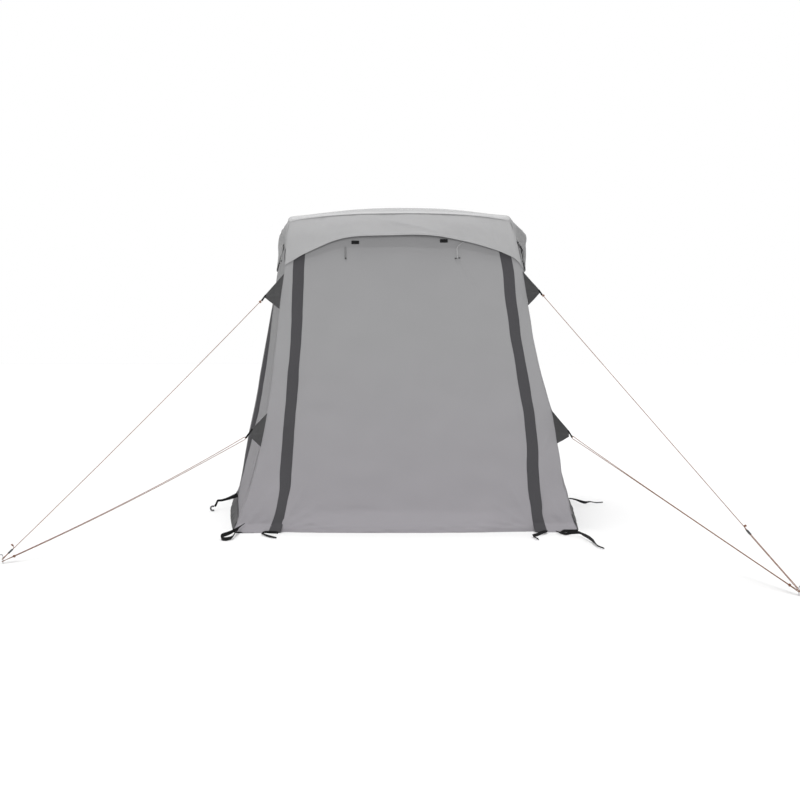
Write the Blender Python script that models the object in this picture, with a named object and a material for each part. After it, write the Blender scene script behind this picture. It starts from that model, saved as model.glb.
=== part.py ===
"""Free-standing camping shelter: four cloth walls with zip-out panels, hooded eaves and a bowed roof.

Metres, +Z up. The origin is the middle of the front hem at ground level, the front faces -Y.
"""

import math

import bmesh
import bpy
import numpy as np

# Driving dimensions of the body, measured from the ground up
BASE_DEPTH = 1.70  # from the front hem to the rear hem
LEAN = 0.10  # how far the front and rear walls lean inwards for each metre of height
SPLAY = (  # height, and how far each side moves outwards there for each metre towards the rear
    (0.00, 0.110), (0.30, 0.128), (1.40, 0.130), (1.80, 0.116), (2.16, 0.116),
)
MEAN_SPLAY = 0.12
EAVE_HEIGHT = 2.122  # the roof's lowest edge, at the four corners
END_BOW = 0.032  # how much the roof's front and rear edges rise in the middle
CROWN = 0.064  # how much higher the roof is at mid depth
BOW_POWER = 2.4  # how square the shoulders of the roof are
EAVE_TILT = 0.004  # the right eave is that much higher, and the left one that much lower
HALF_WIDTH = (  # height, and half the front's width on the line y = 0
    (0.00, 1.147), (0.25, 1.070), (0.60, 0.985), (1.00, 0.903),
    (1.50, 0.827), (1.80, 0.782), (2.16, 0.712),
)
FRONT_LEAN = (  # height, and how far the front's middle stands to the right there: it is not quite true
    (0.00, 0.010), (0.60, 0.033), (1.00, 0.024), (1.50, 0.002), (1.80, -0.010), (2.16, -0.044),
)
REAR_LEAN = 0.015  # the same for the rear, at every height
SEAM_FROM_CORNER = (  # height, and distance from a corner to the zip beside it
    (0.00, 0.270), (0.25, 0.222), (0.55, 0.172), (0.90, 0.145), (1.25, 0.130), (1.80, 0.097), (2.16, 0.090),
)

# Cloth
WALL = 0.004
ROOF = 0.004
HOOD = 0.003
GAP = 0.0003  # between neighbours that touch
TOP_GAP = 0.0007  # between the walls and the roof they hang from
CORNER_RADIUS = 0.030
LEVELS = (0.0, 0.032, 0.066, 0.086, 0.25, 0.57, 0.79, 1.02, 1.27, 1.52, 1.73, 1.92)  # rows of every wall
WALL_COLUMNS = 12

# Roof
ROOF_OVERHANG = 0.010  # past the middle of the wall cloth
ROOF_COLUMNS = 14
ROOF_ROWS = 10

# Hoods
HOOD_OFFSET = 0.002  # clear of the wall at the top
HOOD_MIDDLE_HEIGHT = 1.985  # of the lower edge
HOOD_END_HEIGHT = 1.788
HOOD_LEVEL_PART = 0.38  # the share of each side where the lower edge is level
HOOD_STAND_OFF = 0.055  # of the lower edge from the wall, in the middle
HOOD_CORNER_BULGE = (0.010, 0.010, 0.040, 0.036)  # at each corner, near the top of the hood
HOOD_COLUMNS = 14
HOOD_ROWS = 5

# Zip covers
COVER_WIDTH = 0.070
COVER = 0.0015
COVER_GAP = 0.0006  # between a cover and the wall, whose faces are slightly twisted
COVER_LEVELS = (0.012,) + LEVELS[1:]

# Mud skirts along the two sides
SKIRT = 0.002
SKIRT_BULGE = {"left": 0.032, "right": 0.020}
SKIRT_HEIGHT = 0.066
SKIRT_PROFILE = ((SKIRT_HEIGHT, 0.0), (0.050, 0.60), (0.026, 0.95), (0.0, 1.0))  # height, share of the bulge
SKIRT_ENDS = (0.03, 0.95)  # as shares of the side's length
SKIRT_END_BELLY = 0.35  # how much of the bulge is left at the two ends
SKIRT_COLUMNS = 8

# Frame inside the cloth
FRAME_RADIUS = 0.009
RAIL_RADIUS = 0.008
FRAME_SIDES = 12
FOOT_HALF_WIDTH = 0.930
FOOT_FROM_HEM = 0.150
FOOT_LIFT = 0.0013  # of a foot's middle, so that the lower edge of its square cut meets the ground
SHOULDER_INSET = 0.048
RAIL_HEIGHT = 1.975
ELBOW = 0.085
SHOULDER_DROP = 0.012  # of each frame's shoulders below the ends of its arch
ROOF_BOW_DROP = 0.020  # the same for the roof bow
ARCH_POINTS = 15
ELBOW_POINTS = 7
FRAME_RELIEF = 0.0015  # how much clearer of the roof the frame is at its shoulders

# Guy tabs, lines, sliders and pegs
TAB = 0.002
TAB_GAP = 0.0006
TAB_TIP_WIDTH = 0.014
UPPER_SEAM = (1.52, 1.73)  # heights between which the upper tabs are sewn to the corners
LOWER_SEAM = (0.57, 0.79)
TABS = {  # each tab's seam, the height of its tip and its reach from the corner, loop included
    "upper_left": (UPPER_SEAM, 1.550, 0.165),
    "lower_left": (LOWER_SEAM, 0.637, 0.149),
    "upper_right": (UPPER_SEAM, 1.588, 0.187),
    "lower_right": (LOWER_SEAM, 0.647, 0.225),
}
GUY_SAG = {"upper_left": 0.007, "lower_left": 0.025, "upper_right": 0.001, "lower_right": 0.002}
GUY_POINTS = 12  # along each strand
ROPE_RADIUS = 0.0015
ROPE_SIDES = 6
ROPE_GAP = 0.0005
PEG_RADIUS = 0.003
PEG_HEIGHT = 0.040
PEG_HOOK = 0.013
LEFT_PEG = (-2.380, -1.110)
RIGHT_PEG = (2.000, -2.090)
UPPER_LOOP_HEIGHT = 0.028  # where the upper line goes round its peg
LOWER_LOOP_HEIGHT = 0.013
HEAD_LOOP = 0.006  # radius of the lower line's turn through its tab
SLIDER_LENGTH = 0.036
SLIDER_HALF = (0.0080, 0.0050)
SLIDER_WALL = 0.0025
SLIDER_TAPER = 0.9  # of its ends
SLIDER_STRANDS = 0.0026  # each strand's distance from the slider's middle
LEFT_SLIDER = 0.062  # from the peg, along the line
RIGHT_SLIDER = 0.450

# Pegging straps
STRAP = 0.0016
STRAP_WIDTH = 0.022
STRAP_LIFT = 0.0008
STRAP_GAP = 0.0006
STRAP_HEIGHT = 0.014  # where the front straps leave the hem
STRAP_FROM_CORNER = 0.045
SIDE_STRAP_HEIGHT = 0.086
SIDE_STRAP_FROM_CORNER = {"left": 0.50, "right": 0.56}
CORNER_STRAP_ENDS = {"left": (-1.191, -0.316), "right": (1.231, -0.655)}
SEAM_STRAP_ENDS = {"left": (-0.841, -0.245), "right": (0.865, -0.312)}
SIDE_STRAP_ENDS = {"left": (-1.423, 0.920), "right": (1.570, 1.344)}

FRONT, RIGHT, REAR, LEFT = range(4)
SIDES = {  # each side, and the names of the places where it starts and ends
    "front": (FRONT, "left", "right"),
    "right": (RIGHT, "front", "rear"),
    "rear": (REAR, "right", "left"),
    "left": (LEFT, "rear", "front"),
}
CORNERS = ("front_left", "front_right", "rear_right", "rear_left")  # where each side starts

# Colour, roughness and metallic value of each material
FINISHES = {
    "grey_cloth": ((0.36, 0.36, 0.37, 1.0), 0.80, 0.0),
    "roof_cloth": ((0.42, 0.42, 0.43, 1.0), 0.75, 0.0),
    "dark_cloth": ((0.055, 0.055, 0.06, 1.0), 0.75, 0.0),
    "skirt_cloth": ((0.045, 0.045, 0.05, 1.0), 0.55, 0.0),
    "black_webbing": ((0.015, 0.015, 0.016, 1.0), 0.80, 0.0),
    "orange_rope": ((0.75, 0.28, 0.08, 1.0), 0.70, 0.0),
    "black_plastic": ((0.020, 0.020, 0.022, 1.0), 0.45, 0.0),
    "steel_tube": ((0.45, 0.46, 0.47, 1.0), 0.35, 0.9),
    "peg_steel": ((0.40, 0.41, 0.42, 1.0), 0.40, 0.9),
}


def clear_scene():
    for old in list(bpy.data.objects):
        bpy.data.objects.remove(old, do_unlink=True)


def finish(name):
    """The material of that name, made once."""
    ready = bpy.data.materials.get(name)
    if ready:
        return ready
    colour, roughness, metallic = FINISHES[name]
    material = bpy.data.materials.new(name)
    material.use_nodes = True
    shader = material.node_tree.nodes["Principled BSDF"]
    shader.inputs["Base Color"].default_value = colour
    shader.inputs["Roughness"].default_value = roughness
    shader.inputs["Metallic"].default_value = metallic
    return material


def add_solid(name, vertices, faces, material, smooth=False):
    mesh = bpy.data.meshes.new(name)
    mesh.from_pydata([tuple(map(float, v)) for v in vertices], [], faces)
    turned = bmesh.new()
    turned.from_mesh(mesh)
    bmesh.ops.recalc_face_normals(turned, faces=turned.faces)
    turned.to_mesh(mesh)
    turned.free()
    mesh.materials.append(finish(material))
    if smooth:
        mesh.shade_smooth()
    solid = bpy.data.objects.new(name, mesh)
    bpy.context.scene.collection.objects.link(solid)
    return solid


def sheet(name, outer, inner, material, smooth=True):
    """A closed sheet between two grids of points, each of rows by columns by 3.

    Both grids are cut along the same diagonals, so that a twisted sheet keeps its thickness.
    """
    outer, inner = np.asarray(outer, float), np.asarray(inner, float)
    rows, columns, _ = outer.shape
    vertices = np.concatenate([outer.reshape(-1, 3), inner.reshape(-1, 3)])

    def at(row, column, inside):
        return inside * rows * columns + row * columns + column

    faces = []
    for row in range(rows - 1):
        for column in range(columns - 1):
            here, beside = (row, column), (row, column + 1)
            below, across = (row + 1, column), (row + 1, column + 1)
            for triangle in ((here, beside, across), (here, across, below)):
                faces.append([at(r, c, 0) for r, c in triangle])
                faces.append([at(r, c, 1) for r, c in reversed(triangle)])
    rim = [(0, c) for c in range(columns - 1)] + [(r, columns - 1) for r in range(rows - 1)]
    rim += [(rows - 1, c) for c in range(columns - 1, 0, -1)] + [(r, 0) for r in range(rows - 1, 0, -1)]
    for here, there in zip(rim, rim[1:] + rim[:1]):
        faces.append([at(*there, 0), at(*here, 0), at(*here, 1), at(*there, 1)])
    return add_solid(name, vertices, faces, material, smooth)


def unit(vector):
    vector = np.asarray(vector, float)
    return vector / np.linalg.norm(vector)


def rings_along(path, profile, side_hint):
    """The profile, pairs of sideways and upward distances, set square to the path at each of its points."""
    path = np.asarray(path, float)
    ahead = np.gradient(path, axis=0)
    rings = []
    for point, forward in zip(path, ahead):
        forward = unit(forward)
        sideways = unit(np.asarray(side_hint, float) - forward * np.dot(side_hint, forward))
        upward = np.cross(sideways, forward)
        rings.append([point + a * sideways + b * upward for a, b in profile])
    return rings


def loft(name, rings, material, closed=False, smooth=True):
    """A solid through a row of rings, with its ends filled or joined to each other."""
    rings = np.asarray(rings, float)
    count, corners, _ = rings.shape
    faces = []
    for ring in range(count if closed else count - 1):
        here, there = ring * corners, (ring + 1) % count * corners
        for corner in range(corners):
            follow = (corner + 1) % corners
            faces.append([here + corner, here + follow, there + follow, there + corner])
    if not closed:
        faces.append(list(range(corners))[::-1])
        faces.append([(count - 1) * corners + corner for corner in range(corners)])
    return add_solid(name, rings.reshape(-1, 3), faces, material, smooth)


def circle(radius, sides):
    turns = np.linspace(0.0, 2.0 * math.pi, sides, endpoint=False)
    return [(radius * math.cos(turn), radius * math.sin(turn)) for turn in turns]


def tube(name, path, radius, sides, material, side_hint, closed=False):
    return loft(name, rings_along(path, circle(radius, sides), side_hint), material, closed)


def smooth_curve(knots, at):
    """The value at a place on a smooth curve through pairs of place and value."""
    place, value = np.array(knots, float).T
    slope = np.gradient(value, place)
    at = float(np.clip(at, place[0], place[-1]))
    i = int(np.clip(np.searchsorted(place, at, side="right") - 1, 0, len(place) - 2))
    span = place[i + 1] - place[i]
    t = (at - place[i]) / span
    start = (2 * t**3 - 3 * t**2 + 1) * value[i] + (t**3 - 2 * t**2 + t) * span * slope[i]
    return float(start + (3 * t**2 - 2 * t**3) * value[i + 1] + (t**3 - t**2) * span * slope[i + 1])


def bend(start, corner, end, count):
    """Points of a round bend from start to end, drawn towards a corner."""
    start, corner, end = (np.asarray(p, float) for p in (start, corner, end))
    steps = np.linspace(0.0, 1.0, count)[:, None]
    return (1 - steps) ** 2 * start + 2 * steps * (1 - steps) * corner + steps**2 * end


def half_width(height, depth):
    """Half the shelter's width at a height and a depth from the front hem line."""
    return smooth_curve(HALF_WIDTH, height) + smooth_curve(SPLAY, height) * depth


def middle(height, depth):
    """How far the shelter's middle stands to the right at a height and a depth."""
    return REAR_LEAN + (smooth_curve(FRONT_LEAN, height) - REAR_LEAN) * (1.0 - depth / BASE_DEPTH)


def corner_point(corner, height, out=0.0):
    """One of the four corners of the wall cloth, or of a sheet that lies out from it."""
    at_rear = corner in (REAR, LEFT)
    depth = BASE_DEPTH - LEAN * height + out if at_rear else LEAN * height - out
    hand = 1 if corner in (RIGHT, REAR) else -1
    across = half_width(height, depth) + out * math.hypot(1.0, MEAN_SPLAY)
    return np.array([middle(height, depth) + hand * across, depth, height])


def outward(side):
    """The level direction that a side faces."""
    normals = {FRONT: (0, -1, 0), REAR: (0, 1, 0), RIGHT: (1, -MEAN_SPLAY, 0), LEFT: (-1, -MEAN_SPLAY, 0)}
    return unit(normals[side])


def from_corner(side, at_end, distance, height, out=0.0):
    """A point on a side, that far from the corner where the side starts or ends."""
    start, end = corner_point(side, height), corner_point((side + 1) % 4, height)
    if at_end:
        start, end = end, start
    return start + unit(end - start) * distance + outward(side) * out


def seam_distance(height):
    return smooth_curve(SEAM_FROM_CORNER, height)


def bow(across):
    """The roof's shape from side to side, 1 in the middle and 0 at the eaves."""
    columns = np.sin(np.linspace(-math.pi / 2, math.pi / 2, ROOF_COLUMNS + 1))
    return float(np.interp(across, columns, 1.0 - np.abs(columns) ** BOW_POWER))


def rise(along):
    """The roof's shape from front to rear, straight between its rows."""
    rows = np.sin(np.linspace(-math.pi / 2, math.pi / 2, ROOF_ROWS + 1))
    return float(np.interp(along, rows, 1.0 - rows**2))


def roof_depth(along):
    front = LEAN * EAVE_HEIGHT - ROOF_OVERHANG
    return front + (BASE_DEPTH - 2 * front) * (along + 1) / 2


def roof_half(depth):
    return half_width(EAVE_HEIGHT, depth) + ROOF_OVERHANG


def roof_height(x, y):
    """The height of the roof's upper face above a point."""
    across = (x - middle(EAVE_HEIGHT, y)) / roof_half(y)
    along = 2 * (y - roof_depth(-1)) / (roof_depth(1) - roof_depth(-1)) - 1
    tilt = EAVE_TILT * float(np.clip(across, -1.0, 1.0))
    return EAVE_HEIGHT + tilt + bow(across) * (END_BOW + CROWN * rise(along))


def wall_top(x, y):
    return roof_height(x, y) - ROOF - TOP_GAP


def build_roof():
    columns = np.sin(np.linspace(-math.pi / 2, math.pi / 2, ROOF_COLUMNS + 1))
    rows = np.sin(np.linspace(-math.pi / 2, math.pi / 2, ROOF_ROWS + 1))
    outer = []
    for along in rows:
        y = roof_depth(along)
        xs = [middle(EAVE_HEIGHT, y) + across * roof_half(y) for across in columns]
        outer.append([(x, y, roof_height(x, y)) for x in xs])
    outer = np.array(outer)
    sheet("roof", outer, outer - (0.0, 0.0, ROOF), "roof_cloth")


def wall_rows(place):
    """Outer and inner rows of a wall, for a function of height and out that gives one row of points."""
    outer = [place(level, WALL / 2) for level in LEVELS]
    inner = [place(level, -WALL / 2) for level in LEVELS]
    for rows, out in ((outer, WALL / 2), (inner, -WALL / 2)):
        heights = [wall_top(x, y) for x, y, _ in place(EAVE_HEIGHT, out)]
        rows.append([place(height, out)[column] for column, height in enumerate(heights)])
    return outer, inner


def build_door(name, side):
    """The panel between a side's two zips."""

    def place(height, out):
        edge = seam_distance(height) + GAP / 2
        start = from_corner(side, False, edge, height, out)
        end = from_corner(side, True, edge, height, out)
        return [start + (end - start) * share for share in np.linspace(0.0, 1.0, WALL_COLUMNS + 1)]

    sheet(f"{name}_door_panel", *wall_rows(place), "grey_cloth")


def corner_row(corner, height, out):
    """The row of points that goes round a corner, from one zip to the next."""
    before = (corner - 1) % 4
    edge = seam_distance(height) - GAP / 2
    half_way = (edge + CORNER_RADIUS) / 2
    turn_start = from_corner(before, True, CORNER_RADIUS, height, out)
    turn_end = from_corner(corner, False, CORNER_RADIUS, height, out)
    points = [from_corner(before, True, d, height, out) for d in (edge, half_way)]
    points += list(bend(turn_start, corner_point(corner, height, out), turn_end, 5))
    points += [from_corner(corner, False, d, height, out) for d in (half_way, edge)]
    return points


def build_corner_wall(corner):
    outer, inner = wall_rows(lambda height, out: corner_row(corner, height, out))
    sheet(f"{CORNERS[corner]}_corner_wall", outer, inner, "grey_cloth")


def corner_face(corner, height):
    """The outermost point of a rounded corner's cloth."""
    row = corner_row(corner, height, WALL / 2)
    return row[len(row) // 2]


def build_zip_cover(name, side, at_end):
    def rows(out):
        for height in COVER_LEVELS:
            middle_line = seam_distance(height)
            edges = (middle_line - COVER_WIDTH / 2, middle_line + COVER_WIDTH / 2)
            yield [from_corner(side, at_end, edge, height, out) for edge in edges]

    inner = WALL / 2 + COVER_GAP
    sheet(name, list(rows(inner + COVER)), list(rows(inner)), "dark_cloth")


def hood_edge(across):
    """The height of a hood's lower edge, for a share from -1 to 1 along its side."""
    slope = max(0.0, abs(across) - HOOD_LEVEL_PART) / (1.0 - HOOD_LEVEL_PART)
    fall = 0.8 * slope + 0.2 * slope**2
    return HOOD_MIDDLE_HEIGHT - (HOOD_MIDDLE_HEIGHT - HOOD_END_HEIGHT) * fall


def hood_out(side, across, share_down):
    """How far a hood stands out from where it starts, in its width and down its height."""
    corner_bulges = (HOOD_CORNER_BULGE[side], HOOD_CORNER_BULGE[(side + 1) % 4])
    bulge = float(np.interp(across, (-1.0, 1.0), corner_bulges))
    puff = bulge * math.sin(math.pi * share_down**0.6)
    return puff + HOOD_STAND_OFF * (1 - across**2) * share_down**0.8


def build_hood(name, side):
    """A flared valance that hangs from the roof's edge."""

    def rows(thickness):
        for share_down in np.linspace(0.0, 1.0, HOOD_ROWS + 1):
            row = []
            for across in np.linspace(-1.0, 1.0, HOOD_COLUMNS + 1):
                out = WALL / 2 + HOOD_OFFSET + hood_out(side, across, share_down) + thickness
                edge_gap = GAP * (1 if across < 0 else -1) * (abs(across) == 1.0)
                share = (across + 1) / 2

                def spot(height):
                    start = corner_point(side, height, out)
                    end = corner_point((side + 1) % 4, height, out)
                    return start + (end - start) * share + unit(end - start) * edge_gap

                top = spot(EAVE_HEIGHT)
                top_height = wall_top(top[0], top[1])
                row.append(spot(top_height + (hood_edge(across) - top_height) * share_down))
            yield row

    sheet(f"{name}_hood", list(rows(HOOD)), list(rows(0.0)), "grey_cloth")


def build_mud_skirt(name, side):
    """The dark band along the foot of a side, which bellies out over the ground."""
    shares = np.linspace(*SKIRT_ENDS, SKIRT_COLUMNS + 1)
    start, end = corner_point(side, 0.0), corner_point((side + 1) % 4, 0.0)
    length = np.linalg.norm(end - start)

    def rows(thickness):
        for height, bulge in SKIRT_PROFILE:
            row = []
            for share in shares:
                round_share = math.sin(math.pi * (share - SKIRT_ENDS[0]) / np.ptp(SKIRT_ENDS))
                belly = SKIRT_BULGE[name] * (SKIRT_END_BELLY + (1 - SKIRT_END_BELLY) * round_share)
                out = WALL / 2 + COVER_GAP + COVER + 2 * GAP + belly * bulge + thickness
                row.append(from_corner(side, False, share * length, height, out))
            yield row

    sheet(f"{name}_mud_skirt", list(rows(SKIRT)), list(rows(0.0)), "skirt_cloth")


def under_roof(x, y, radius, reach):
    """The height of a tube's middle, where the tube lies under the roof at that point."""
    step = 0.01
    slope_x = (roof_height(x + step, y) - roof_height(x - step, y)) / (2 * step)
    slope_y = (roof_height(x, y + step) - roof_height(x, y - step)) / (2 * step)
    lie = math.sqrt(1 + slope_x**2 + slope_y**2)
    relief = FRAME_RELIEF * min(1.0, abs(x - middle(EAVE_HEIGHT, y)) / reach)
    return roof_height(x, y) - ROOF - (radius + TOP_GAP / 2) * lie - relief


def bowed_path(y, reach, radius, count):
    centre = middle(EAVE_HEIGHT, y)
    xs = np.linspace(centre - reach, centre + reach, count)
    return [np.array([x, y, under_roof(x, y, radius, reach)]) for x in xs]


def shoulder_reach(y):
    """Half the width between the frame's two shoulders."""
    return half_width(EAVE_HEIGHT, y) - SHOULDER_INSET


def frame_line(at_rear):
    """The front frame's middle line or the rear one's, from foot to foot."""
    shoulder_depth = LEAN * EAVE_HEIGHT + SHOULDER_INSET
    foot_depth = FOOT_FROM_HEM
    if at_rear:
        shoulder_depth, foot_depth = BASE_DEPTH - shoulder_depth, BASE_DEPTH - foot_depth
    reach = shoulder_reach(shoulder_depth)
    foot_half = FOOT_HALF_WIDTH + MEAN_SPLAY * foot_depth
    across = bowed_path(shoulder_depth, reach - ELBOW, FRAME_RADIUS, ARCH_POINTS)
    line = []
    for hand, arch_end in ((-1, across[0]), (1, across[-1])):
        foot = np.array([middle(0.0, foot_depth) + hand * foot_half, foot_depth, FOOT_LIFT])
        shoulder_x = middle(EAVE_HEIGHT, shoulder_depth) + hand * reach
        shoulder = np.array([shoulder_x, shoulder_depth, arch_end[2] - SHOULDER_DROP])
        bend_start = shoulder + unit(foot - shoulder) * ELBOW
        turn = [foot, *bend(bend_start, shoulder, arch_end, ELBOW_POINTS)[:-1]]
        line.append(turn)
    return line[0] + across + line[1][::-1]


def leg_point(line, hand, height):
    """The point of a frame's leg at a height."""
    foot, top = (line[0], line[1]) if hand < 0 else (line[-1], line[-2])
    return foot + (top - foot) * (height - foot[2]) / (top[2] - foot[2])


def build_frame():
    front, rear = frame_line(False), frame_line(True)
    tube("front_frame_pole", front, FRAME_RADIUS, FRAME_SIDES, "steel_tube", (0, 1, 0))
    tube("rear_frame_pole", rear, FRAME_RADIUS, FRAME_SIDES, "steel_tube", (0, 1, 0))
    rails = {}
    for name, hand in (("left", -1), ("right", 1)):
        start, end = leg_point(front, hand, RAIL_HEIGHT), leg_point(rear, hand, RAIL_HEIGHT)
        ahead = unit(end - start) * (FRAME_RADIUS + 4 * GAP)
        rails[hand] = (start + ahead, end - ahead)
        tube(f"{name}_eave_pole", rails[hand], RAIL_RADIUS, FRAME_SIDES, "steel_tube", (1, 0, 0))
    build_roof_bow(rails)


def build_roof_bow(rails):
    """The cross pole at mid depth that stands on the two eave poles and lifts the roof."""
    depth = BASE_DEPTH / 2
    ends = {}
    for hand, (start, end) in rails.items():
        ends[hand] = start + (end - start) * (depth - start[1]) / (end[1] - start[1])
    reach = min(abs(ends[hand][0] - middle(EAVE_HEIGHT, depth)) for hand in (-1, 1))
    across = bowed_path(depth, reach - ELBOW, RAIL_RADIUS, ARCH_POINTS)
    line = []
    for hand, arch_end in ((-1, across[0]), (1, across[-1])):
        foot = ends[hand] + (0.0, 0.0, RAIL_RADIUS + GAP)
        shoulder = np.array([foot[0], depth, arch_end[2] - ROOF_BOW_DROP])
        line.append([foot, *bend(shoulder - (0.0, 0.0, ELBOW / 2), shoulder, arch_end, ELBOW_POINTS)[:-1]])
    tube("roof_bow_pole", line[0] + across + line[1][::-1], RAIL_RADIUS, FRAME_SIDES, "steel_tube", (0, 1, 0))


def tab_tip(corner, tab, peg):
    """The middle of a guy tab's outer end, and the level direction from the corner to the peg."""
    seam, tip_height, reach = TABS[tab]
    face = corner_face(corner, sum(seam) / 2)
    away = unit((peg[0] - face[0], peg[1] - face[1], 0.0))
    tip = face + away * reach
    tip[2] = tip_height
    return tip, away


def build_guy_tab(tab, corner, peg):
    tip, away = tab_tip(corner, tab, peg)
    across = np.cross(away, (0, 0, 1)) * TAB / 2
    base_low, base_high = (corner_face(corner, height) + away * TAB_GAP for height in TABS[tab][0])
    up = np.array([0.0, 0.0, TAB_TIP_WIDTH / 2])
    plate = np.array([[base_low, tip - up], [base_high, tip + up]])
    sheet(f"{tab}_guy_tab", plate + across, plate - across, "dark_cloth", smooth=False)


class GuyLine:
    """The route of a guy line between its peg and its tab, which sags a little in the middle."""

    def __init__(self, tab, corner, peg, loop_height):
        tip, away = tab_tip(corner, tab, peg)
        self.foot = np.array([*peg, loop_height])
        self.start = tip + away * (ROPE_RADIUS + ROPE_GAP)
        self.length = np.linalg.norm(self.start - self.foot)
        self.along = unit(self.start - self.foot)
        self.across = unit(np.cross(self.along, (0, 0, 1)))
        self.sag = GUY_SAG[tab]

    def at(self, distance, aside=0.0):
        """The point at a distance from the peg, and that far to one side."""
        share = distance / self.length
        drop = 4 * self.sag * share * (1 - share)
        return self.foot + self.along * distance + self.across * aside - (0.0, 0.0, drop)

    def peg_turn(self):
        """The half circle of the line round its peg."""
        radius = PEG_RADIUS / math.hypot(*self.along[:2]) + ROPE_RADIUS + ROPE_GAP
        turns = np.linspace(0.5, 1.5, 9) * math.pi
        return [self.at(radius * math.cos(turn), radius * math.sin(turn)) for turn in turns]

    def rings(self, path):
        return rings_along(path, circle(ROPE_RADIUS, ROPE_SIDES), np.cross(self.along, self.across))


def build_upper_guy(tab, corner, peg, slider_distance):
    """A single strand to the slider, and a loop from there round the peg."""
    guy = GuyLine(tab, corner, peg, UPPER_LOOP_HEIGHT)
    above, below = slider_distance + 0.7 * SLIDER_LENGTH, slider_distance - 0.6 * SLIDER_LENGTH
    path = []
    for distance in np.linspace(guy.length, above, GUY_POINTS):
        share = (guy.length - distance) / (guy.length - above)
        path.append(guy.at(distance, SLIDER_STRANDS * share))
    path.append(guy.at(below, SLIDER_STRANDS))
    path += guy.peg_turn()
    path += [guy.at(below, -SLIDER_STRANDS), guy.at(above, -SLIDER_STRANDS)]
    loft(f"{tab}_guy_line", guy.rings(path), "orange_rope")
    slope = unit(guy.at(above) - guy.at(below))
    build_slider(f"{tab}_guy_slider", guy.at(slider_distance), slope, guy.across)


def build_slider(name, centre, along, across):
    """A flat oval block with one bore, which both strands pass."""
    upward = np.cross(across, along)
    outline = np.array(circle(1.0, 16))

    def ring(distance, half_wide, half_high):
        middle_point = centre + along * distance
        return [middle_point + a * half_wide * across + b * half_high * upward for a, b in outline]

    wide, high = SLIDER_HALF
    end, shoulder = SLIDER_LENGTH / 2, SLIDER_LENGTH * 0.35
    bore = (wide - SLIDER_WALL, high - SLIDER_WALL)
    end_size = (wide * SLIDER_TAPER, high * SLIDER_TAPER)
    rings = [ring(-end, *end_size), ring(-shoulder, wide, high), ring(shoulder, wide, high)]
    rings += [ring(end, *end_size), ring(end, *bore), ring(-end, *bore)]
    loft(name, rings, "black_plastic", closed=True)


def build_lower_guy(tab, corner, peg):
    """A closed loop from the tab round the peg and back."""
    guy = GuyLine(tab, corner, peg, LOWER_LOOP_HEIGHT)
    turn = guy.peg_turn()
    peg_reach = abs(np.dot(turn[0] - guy.foot, guy.across))
    head = guy.length - HEAD_LOOP
    out_strand, back_strand = [], []
    for share in np.linspace(0.0, 1.0, GUY_POINTS)[1:-1]:
        aside = peg_reach + (HEAD_LOOP - peg_reach) * share
        out_strand.append(guy.at(head * share, -aside))
        back_strand.append(guy.at(head * share, aside))
    turns = np.linspace(-0.5, 0.5, 7) * math.pi
    head_turn = [guy.at(head + HEAD_LOOP * math.cos(t), HEAD_LOOP * math.sin(t)) for t in turns]
    path = turn + out_strand + head_turn + back_strand[::-1]
    loft(f"{tab}_guy_line", guy.rings(path), "orange_rope", closed=True)


def build_peg(name, peg, inward):
    """The hooked head of a steel peg, cut off where it goes into the ground."""
    base = np.array([*peg, 0.0])
    top = base + (0.0, 0.0, PEG_HEIGHT)
    ahead = unit((inward[0], inward[1], 0.0)) * PEG_HOOK
    hook = bend(top, top + (0.0, 0.0, PEG_HOOK), top + ahead + (0.0, 0.0, PEG_HOOK), 5)
    drop = top + ahead * 1.9 + (0.0, 0.0, PEG_HOOK * 0.3)
    path = [base, base + (0.0, 0.0, PEG_HEIGHT / 2), *hook, drop]
    side = np.cross(ahead, (0, 0, 1))
    tube(name, path, PEG_RADIUS, 10, "peg_steel", unit(side))


def build_guys():
    hands = (
        ("left", FRONT, LEFT_PEG, LEFT_SLIDER),
        ("right", RIGHT, RIGHT_PEG, RIGHT_SLIDER),
    )
    for name, corner, peg, slider_distance in hands:
        upper, lower = f"upper_{name}", f"lower_{name}"
        build_guy_tab(upper, corner, peg)
        build_guy_tab(lower, corner, peg)
        build_upper_guy(upper, corner, peg, slider_distance)
        build_lower_guy(lower, corner, peg)
        away = tab_tip(corner, upper, peg)[1]
        build_peg(f"{name}_peg", peg, away)


def build_strap(name, start, facing, end, first_part):
    """A webbing strap that leaves the cloth square to it and lies on the ground to its free end."""
    ground = STRAP_LIFT + STRAP / 2
    facing = np.asarray(facing, float)
    start = start + facing * STRAP_GAP
    end = np.array([*end, ground])
    turn = start + facing * np.linalg.norm(end - start) * first_part
    turn[2] = ground
    line = bend(start, turn, end, 8)
    ahead = np.gradient(line, axis=0)
    ahead[0] = facing
    sideways = np.array([unit(np.cross(forward, (0, 0, 1))) for forward in ahead]) * STRAP_WIDTH / 2
    rows = np.stack([line - sideways, line + sideways], axis=1)
    lift = np.array([0.0, 0.0, STRAP / 2])
    sheet(name, rows + lift, rows - lift, "black_webbing", smooth=False)


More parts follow.
